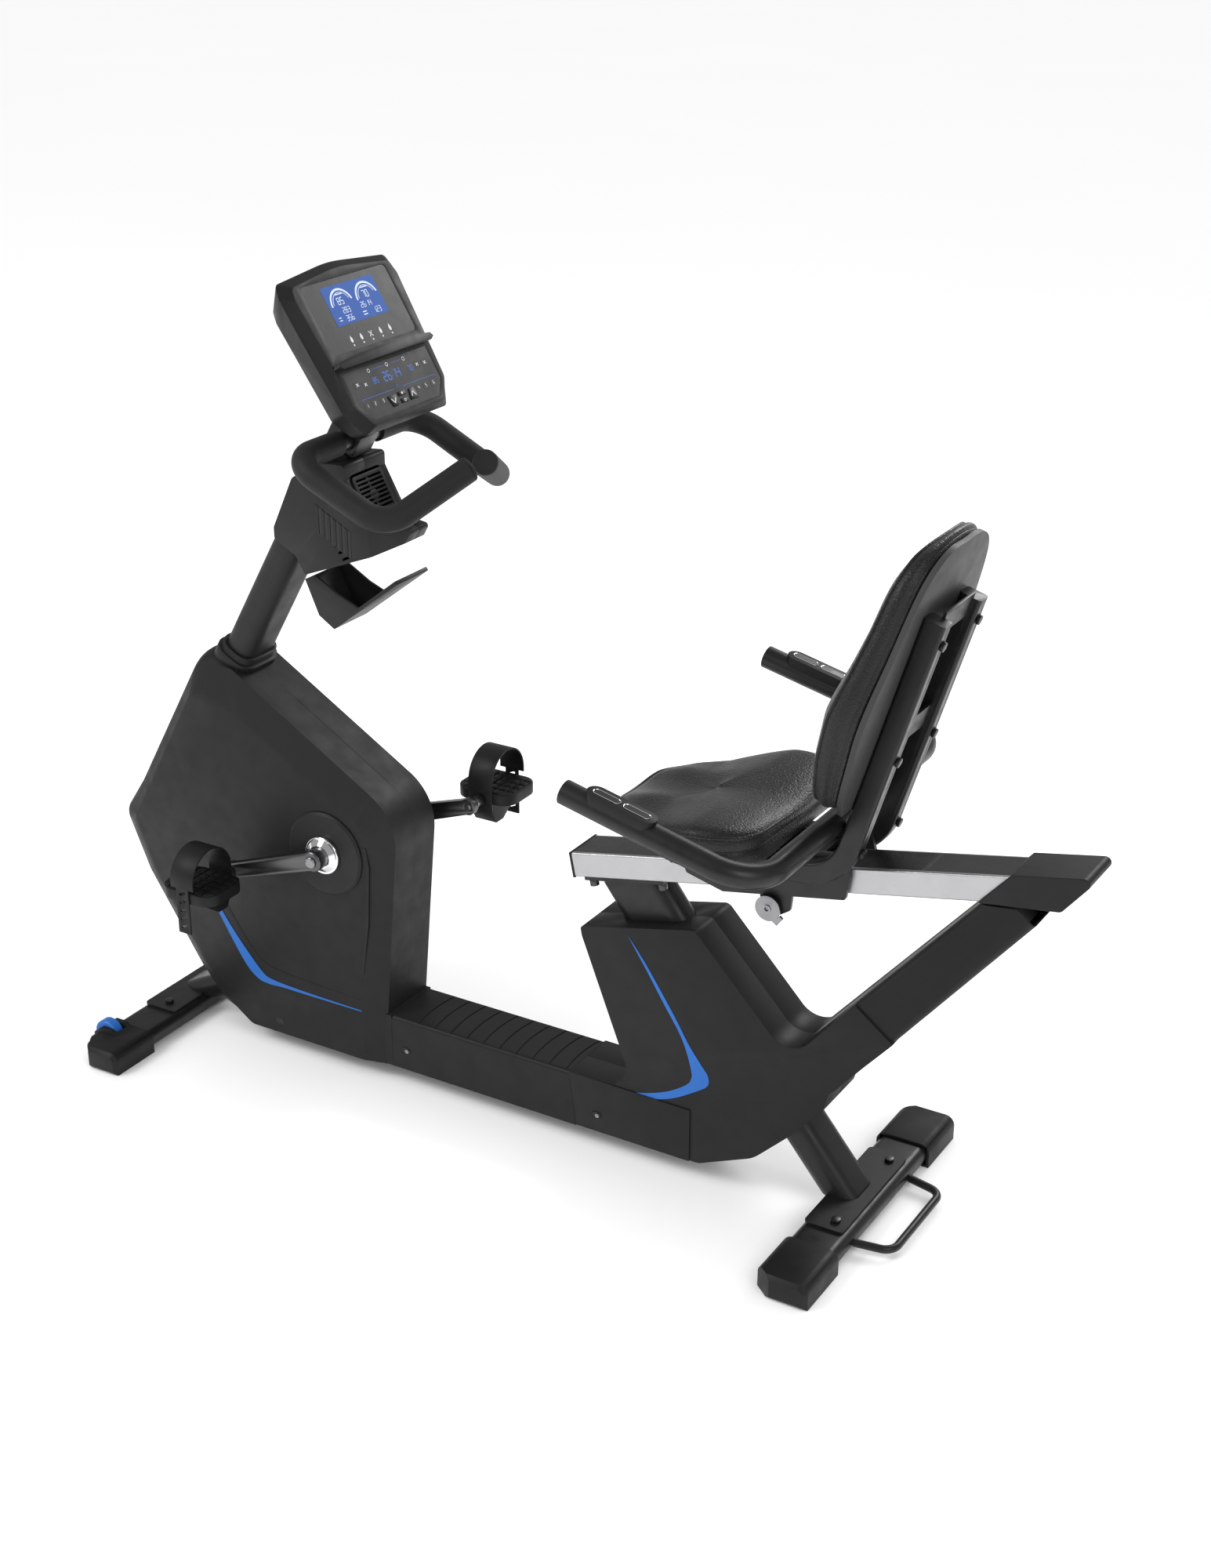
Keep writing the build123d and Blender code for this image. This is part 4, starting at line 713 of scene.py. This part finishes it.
def cover_details(depths):
    """Ribbons, panel lines, screw holes and screws of the covers, on both sides."""
    for side, sign in SIDES:
        wall = sign * PANEL_Y
        ribbon = between(STRIPE_TOP, STRIPE_BOTTOM, wall, RIBBON_DEPTH)
        new_piece(f"shroud_stripe_{side}", *ribbon, BLUE, "frame", "blue_plastic")
        swoosh = between(SWOOSH_OUTER, SWOOSH_INNER, sign * COLUMN_Y, RIBBON_DEPTH)
        new_piece(f"cover_stripe_{side}", *swoosh, BLUE, "frame", "blue_plastic")
        lines = [between(SHADE_TOP, SHADE_BOTTOM, wall, 0.3), side_plate(PANEL_RIDGE, wall, 0.8)]
        new_piece(f"shroud_lines_{side}", *merged(lines), DARK, "frame", "dark_plastic")
        recesses = [screw_recess(x, z, depths[x, z, sign]) for x, z in SCREWS]
        rims, floors, screws = (merged(list(parts)) for parts in zip(*recesses))
        new_piece(f"screw_rims_{side}", *rims, HOUSING, "frame", "dark_plastic")
        slot = side_plate(oval(*DARK_SLOT, WELL_WIDE, WELL_HIGH), depths[(*DARK_SLOT, sign)], WELL_DEPTH)
        new_piece(f"screw_wells_{side}", *merged([floors, slot]), GLOSS, "frame", "gloss_black")
        new_piece(f"cover_screws_{side}", *screws, ZINC, "frame", "bright_steel")


VENT_LEFT, VENT_RIGHT = 4.0, 65.0
VENT_TOP, VENT_HIGH, VENT_SLOPE = 938.0, 41.0, -0.53
VENT_BARS, BAR_SHARE = 6, 0.5


def upright(x0, x1):
    """Outline of the vent between two upright lines."""
    left, right = (VENT_TOP + VENT_SLOPE * (x - VENT_LEFT) for x in (x0, x1))
    return [(x0, left), (x1, right), (x1, right - VENT_HIGH), (x0, left - VENT_HIGH)]


def vent_panels(depths):
    """Slanted panel of upright louvres on each side of the mast housing."""
    pitch = (VENT_RIGHT - VENT_LEFT) / VENT_BARS
    outline = upright(VENT_LEFT, VENT_RIGHT)
    for side, sign in SIDES:
        wall = sign * max(abs(depths[x, z, sign]) for x, z in outline)
        new_piece(f"vent_back_{side}", *side_plate(outline, wall, 0.4), GLOSS, "frame", "gloss_black")
        starts = [VENT_LEFT + i * pitch for i in range(VENT_BARS)]
        bars = [side_plate(upright(x, x + pitch * BAR_SHARE), wall, 1.0) for x in starts]
        new_piece(f"vent_bars_{side}", *merged(bars), HOUSING, "frame", "dark_plastic")


# ---- pulse grips ---------------------------------------------------------------------------------

GRIP_MIDDLE, GRIP_WAY, GRIP_TOP = (655.0, 286.0, 684.0), (-0.9718, 0.236), 23.0
PLATE_LONG, PLATE_WIDE, PLATE_PITCH = 40.0, 12.0, 46.0


def on_grip(sign):
    """Placer for the top of a seat grip: along the bar, across it and up, in mm."""
    along, rise = GRIP_WAY
    return lambda u, v, w: at(GRIP_MIDDLE[0] + u * along + w * rise, sign * GRIP_MIDDLE[1] + v,
                              GRIP_MIDDLE[2] + u * rise - w * along)


def contact_plates():
    """Two pulse contact plates with bright rims on each seat grip."""
    for side, sign in SIDES:
        place = on_grip(sign)
        plates, rims = [], []
        for u in (-PLATE_PITCH / 2, PLATE_PITCH / 2):
            outline = rounded(u - PLATE_LONG / 2, u + PLATE_LONG / 2, -PLATE_WIDE / 2, PLATE_WIDE / 2,
                              PLATE_WIDE / 2 - 0.5, 8)
            plates.append(prism(outline, place, GRIP_TOP - 0.5, GRIP_TOP + 0.6))
            rims.append(swept([place(a, b, GRIP_TOP + 0.5) for a, b in outline], 0.7 * MM, sides=8))
        new_piece(f"contact_plates_{side}", *merged(plates), GLOSS, "seat", "gloss_black")
        new_piece(f"contact_rims_{side}", *merged(rims), CHROME, "seat", "chrome")


# ---- console graphics ----------------------------------------------------------------------------

FACE_ORIGIN = (141.4, 1087.4)
FACE_TILT = math.radians(31.56)
SEGMENTS = {"0": "abcdef", "1": "bc", "2": "abged", "3": "abgcd", "4": "fgbc", "5": "afgcd",
            "6": "afgedc", "7": "abc", "8": "abcdefg", "9": "abcdfg"}


def on_face(u, v, w):
    """Point of the console face: across to the rider's right, up the face and proud of it, in mm."""
    s, c = math.sin(FACE_TILT), math.cos(FACE_TILT)
    return at(FACE_ORIGIN[0] - s * v + c * w, u, FACE_ORIGIN[1] + c * v + s * w)


def bar(u0, v0, u1, v1, width, low, high):
    """Straight flat stroke on the face."""
    length = math.hypot(u1 - u0, v1 - v0) or 1
    nu, nv = -(v1 - v0) / length * width / 2, (u1 - u0) / length * width / 2
    outline = [(u0 + nu, v0 + nv), (u0 - nu, v0 - nv), (u1 - nu, v1 - nv), (u1 + nu, v1 + nv)]
    return prism(outline, on_face, low, high)


def digits(text, u, v, height, low, high):
    """Seven-segment digits, with their bottom left corner at (u, v)."""
    width, stroke = height * 0.5, height * 0.12
    parts = []
    for mark in text:
        if mark == ":":
            for rise in (0.3, 0.65):
                parts.append(bar(u, v + rise * height, u, v + (rise + 0.08) * height, stroke, low, high))
            u += width * 0.45
            continue
        mid = height / 2
        ends = {"a": (0, height, width, height), "b": (width, height, width, mid),
                "c": (width, mid, width, 0), "d": (0, 0, width, 0), "e": (0, 0, 0, mid),
                "f": (0, mid, 0, height), "g": (0, mid, width, mid)}
        for name in SEGMENTS[mark]:
            du0, dv0, du1, dv1 = ends[name]
            shrink = 0.12 if dv0 == dv1 else 0.0
            parts.append(bar(u + du0 + shrink * width, v + dv0, u + du1 - shrink * width, v + dv1,
                             stroke, low, high))
        u += width * 1.5
    return parts


def arc(u, v, radius, width, start, end, low, high, steps=20):
    """Curved stroke; angles in degrees, anticlockwise from the right."""
    angles = np.radians(np.linspace(start, end, steps))
    outer, inner = ([(u + r * math.cos(a), v + r * math.sin(a)) for a in angles]
                    for r in (radius + width / 2, radius - width / 2))
    return prism(outer + inner[::-1], on_face, low, high)


LENS_W = -0.2                  # the display window's surface, against the console face
SHEET_W = -0.3
INK = 0.16
SMALL_KEYS = [(-80, 55), (-63, 52), (62, 55), (80, 54), (-80, 23), (-62, 23), (-43.5, 23),
              (42.4, 23), (59.8, 23), (78.5, 23)]


def display():
    """Lit screen with two gauges and generic numbers."""
    low, top = LENS_W, LENS_W + INK
    screen = prism(rounded(-59.5, 60.4, 139, 197, 1.5), on_face, low - 0.3, top)
    new_piece("screen", *screen, LIT_SCREEN, "frame", "display_glass")
    ink = (top - 0.05, top + 0.1)
    parts = []
    for u in (-27, 31):
        parts.append(arc(u, 166, 24, 3.2, 15, 178, *ink))
        parts.append(arc(u, 166, 19.5, 1.0, 25, 172, *ink))
        parts.append(bar(u - 8, 183, u + 8, 183, 1.6, *ink))
    parts += digits("85", -36, 168, 10, *ink) + digits("70", 22, 168, 10, *ink)
    parts += digits("283", -34, 155, 8, *ink) + digits("26:14", 8, 155, 8, *ink)
    parts += digits("356", -34, 143, 8, *ink) + digits("123", 30, 143, 8, *ink)
    parts += [bar(-50, v, -44, v, 1.4, *ink) for v in (146, 150)]
    parts += [bar(5, v, 14, v, 1.6, *ink) for v in (145, 149)]
    new_piece("screen_digits", *merged(parts), LIT_DIGIT, "frame", "display_glass")


def icons():
    """Five small marks under the screen, each with a dot."""
    ink = (LENS_W - 0.1, LENS_W + INK)
    parts = []
    for n, u in enumerate((-45.6, -23, -1, 22, 44.4)):
        if n == 2:
            parts += [bar(u - 3.5, v, u + 3.5, w, 1.3, *ink) for v, w in ((113, 121), (121, 113))]
        else:
            drop = [(u, 123), (u + 2.6, 117.5), (u + 2.2, 113.6), (u, 112.4), (u - 2.2, 113.6),
                    (u - 2.6, 117.5)]
            parts.append(prism(drop[::-1], on_face, *ink))
        parts.append(arc(u, 108.5, 0.9, 1.2, 0, 359, *ink, steps=10))
    new_piece("mode_marks", *merged(parts), WHITE_INK, "frame", "display_glass")


def keypad():
    """Printed keys, their marks, the LED numbers and the guide lines on the keypad sheet."""
    low, high = SHEET_W - 0.1, SHEET_W + INK
    keys = [prism(rounded(u - 7, u + 7, v - 5.4, v + 5.4, 1.6), on_face, low, high) for u, v in SMALL_KEYS]
    new_piece("printed_keys", *merged(keys), GREY_INK, "frame", "gloss_black")
    ink = (high - 0.02, high + 0.1)
    marks = []
    for n, (u, v) in enumerate(SMALL_KEYS):
        if n < 4:
            marks += [bar(u - 2.5, v - rise, u + 2.5, v + rise, 1.2, *ink) for rise in (2, -2)]
        else:
            marks += digits(str((n - 3) % 10), u - 1.6, v - 2.4, 4.8, *ink)
    for u in (-44, -1, 39):
        marks.append(arc(u, 69, 2.6, 0.8, 0, 359, low, high))
    new_piece("key_marks", *merged(marks), WHITE_INK, "frame", "gloss_black")
    lines = [bar(-38, 69, -8, 69, 0.7, low, high), bar(6, 69, 33, 69, 0.7, low, high),
             bar(-86, 33, -10, 33, 0.8, low, high), bar(10, 33, 88, 33, 0.8, low, high)]
    lines.append(arc(0, 33, 4, 0.8, 0, 180, low, high))
    new_piece("guide_lines", *merged(lines), BLUE_INK, "frame", "gloss_black")
    leds = digits("85", -44, 49, 8, low, high) + digits("26:14", -20, 47, 13, low, high)
    leds += digits("70", 39, 49, 8, low, high)
    new_piece("led_digits", *merged(leds), BLUE_LED, "frame", "gloss_black")


KEY_W = 0.9                    # front of the moving keys, against the console face


def key_symbols():
    """Chevrons on the large keys and small strokes on the two between them, riding on the keys."""
    ink = (KEY_W - 0.05, KEY_W + 0.12)
    down = [bar(-28, 21, -23, 14, 1.4, *ink), bar(-18, 21, -23, 14, 1.4, *ink)]
    up = [bar(18, 15, 23, 22, 1.4, *ink), bar(28, 15, 23, 22, 1.4, *ink)]
    stop = [prism(rounded(-1.6, 1.6, 22.4, 25.6, 0.3), on_face, *ink)]
    enter = [arc(0, 13.5, 1.7, 0.8, 0, 359, *ink)]
    for name, parts, body in (("down_mark", down, "down_key"), ("up_mark", up, "up_key"),
                              ("stop_mark", stop, "stop_key"), ("enter_mark", enter, "enter_key")):
        new_piece(name, *merged(parts), WHITE_INK, body, "gloss_black")


# ---- stage ---------------------------------------------------------------------------------------

FLOOR_HALF = 60.0


def stage():
    """Plain pale floor."""
    corners = [(x * FLOOR_HALF, y * FLOOR_HALF, 0) for x, y in ((-1, -1), (1, -1), (1, 1), (-1, 1))]
    mesh = bpy.data.meshes.new("floor")
    mesh.from_pydata(corners, [], [(0, 1, 2, 3)])
    material, nodes, links, shader, place = node_tree("floor_paint")
    tint(nodes, links, shader, (0.91, 0.91, 0.91), noise(nodes, links, place, 1.5, 2), 0.99, 1.01)
    shader.inputs["Roughness"].default_value = 0.7
    shader.inputs["Specular IOR Level"].default_value = 0.2
    mesh.materials.append(material)
    floor = bpy.data.objects.new("floor", mesh)
    bpy.context.scene.collection.objects.link(floor)


WORLD_LIGHT, WORLD_REFLECTED = 1.11, 0.36


def surroundings():
    """White studio, dimmer in reflections than as light, as dark screens beside the camera make it."""
    world = bpy.data.worlds.new("studio")
    world.use_nodes = True
    nodes, links = world.node_tree.nodes, world.node_tree.links
    rays = nodes.new("ShaderNodeLightPath")
    dimmer = nodes.new("ShaderNodeMapRange")
    dimmer.inputs["To Min"].default_value = WORLD_LIGHT
    dimmer.inputs["To Max"].default_value = WORLD_REFLECTED
    nodes["Background"].inputs["Color"].default_value = (1, 1, 1, 1)
    links.new(rays.outputs["Is Glossy Ray"], dimmer.inputs["Value"])
    links.new(dimmer.outputs["Result"], nodes["Background"].inputs["Strength"])
    bpy.context.scene.world = world
    bpy.context.scene.view_settings.view_transform = "Standard"


# name, place, height it points at over the middle of the bike, size, power in watts
SOFTBOXES = (("key_light", (-2.4, -2.4, 3.2), 0.6, 1.8, 70), ("fill_light", (2.8, -1.6, 2.4), 0.6, 1.6, 28),
             ("rim_light", (0.5, 3.2, 2.6), 0.7, 1.8, 60))


def softbox(name, place, aim, size, power):
    """Round studio lamp."""
    light = bpy.data.lights.new(name, "AREA")
    light.shape = "DISK"
    light.size = size
    light.energy = power
    lamp = bpy.data.objects.new(name, light)
    lamp.location = place
    lamp.rotation_euler = (Vector((0, 0, aim)) - Vector(place)).to_track_quat("-Z", "Y").to_euler()
    bpy.context.scene.collection.objects.link(lamp)


CAMERA_PLACE = (2021.7, -2600.0, 1930.0)
CAMERA_PITCH, CAMERA_YAW = math.radians(24.0), math.radians(30.92)
LENS_LENGTH, SENSOR = 53.05, 36.0


def camera():
    """Camera at the eye's place, which is given in mm from the crank axis."""
    data = bpy.data.cameras.new("camera")
    data.lens, data.sensor_width = LENS_LENGTH, SENSOR
    data.clip_end = 200
    eye = bpy.data.objects.new("camera", data)
    eye.location = at(*CAMERA_PLACE)
    eye.rotation_euler = (math.pi / 2 - CAMERA_PITCH, 0, CAMERA_YAW)
    bpy.context.scene.collection.objects.link(eye)
    bpy.context.scene.camera = eye


dress_frame()
cushions()
side_y = side_depths([*SCREWS, DARK_SLOT, *upright(VENT_LEFT, VENT_RIGHT)])
cover_details(side_y)
vent_panels(side_y)
contact_plates()
display()
icons()
keypad()
key_symbols()
stage()
surroundings()
for lamp in SOFTBOXES:
    softbox(*lamp)
camera()
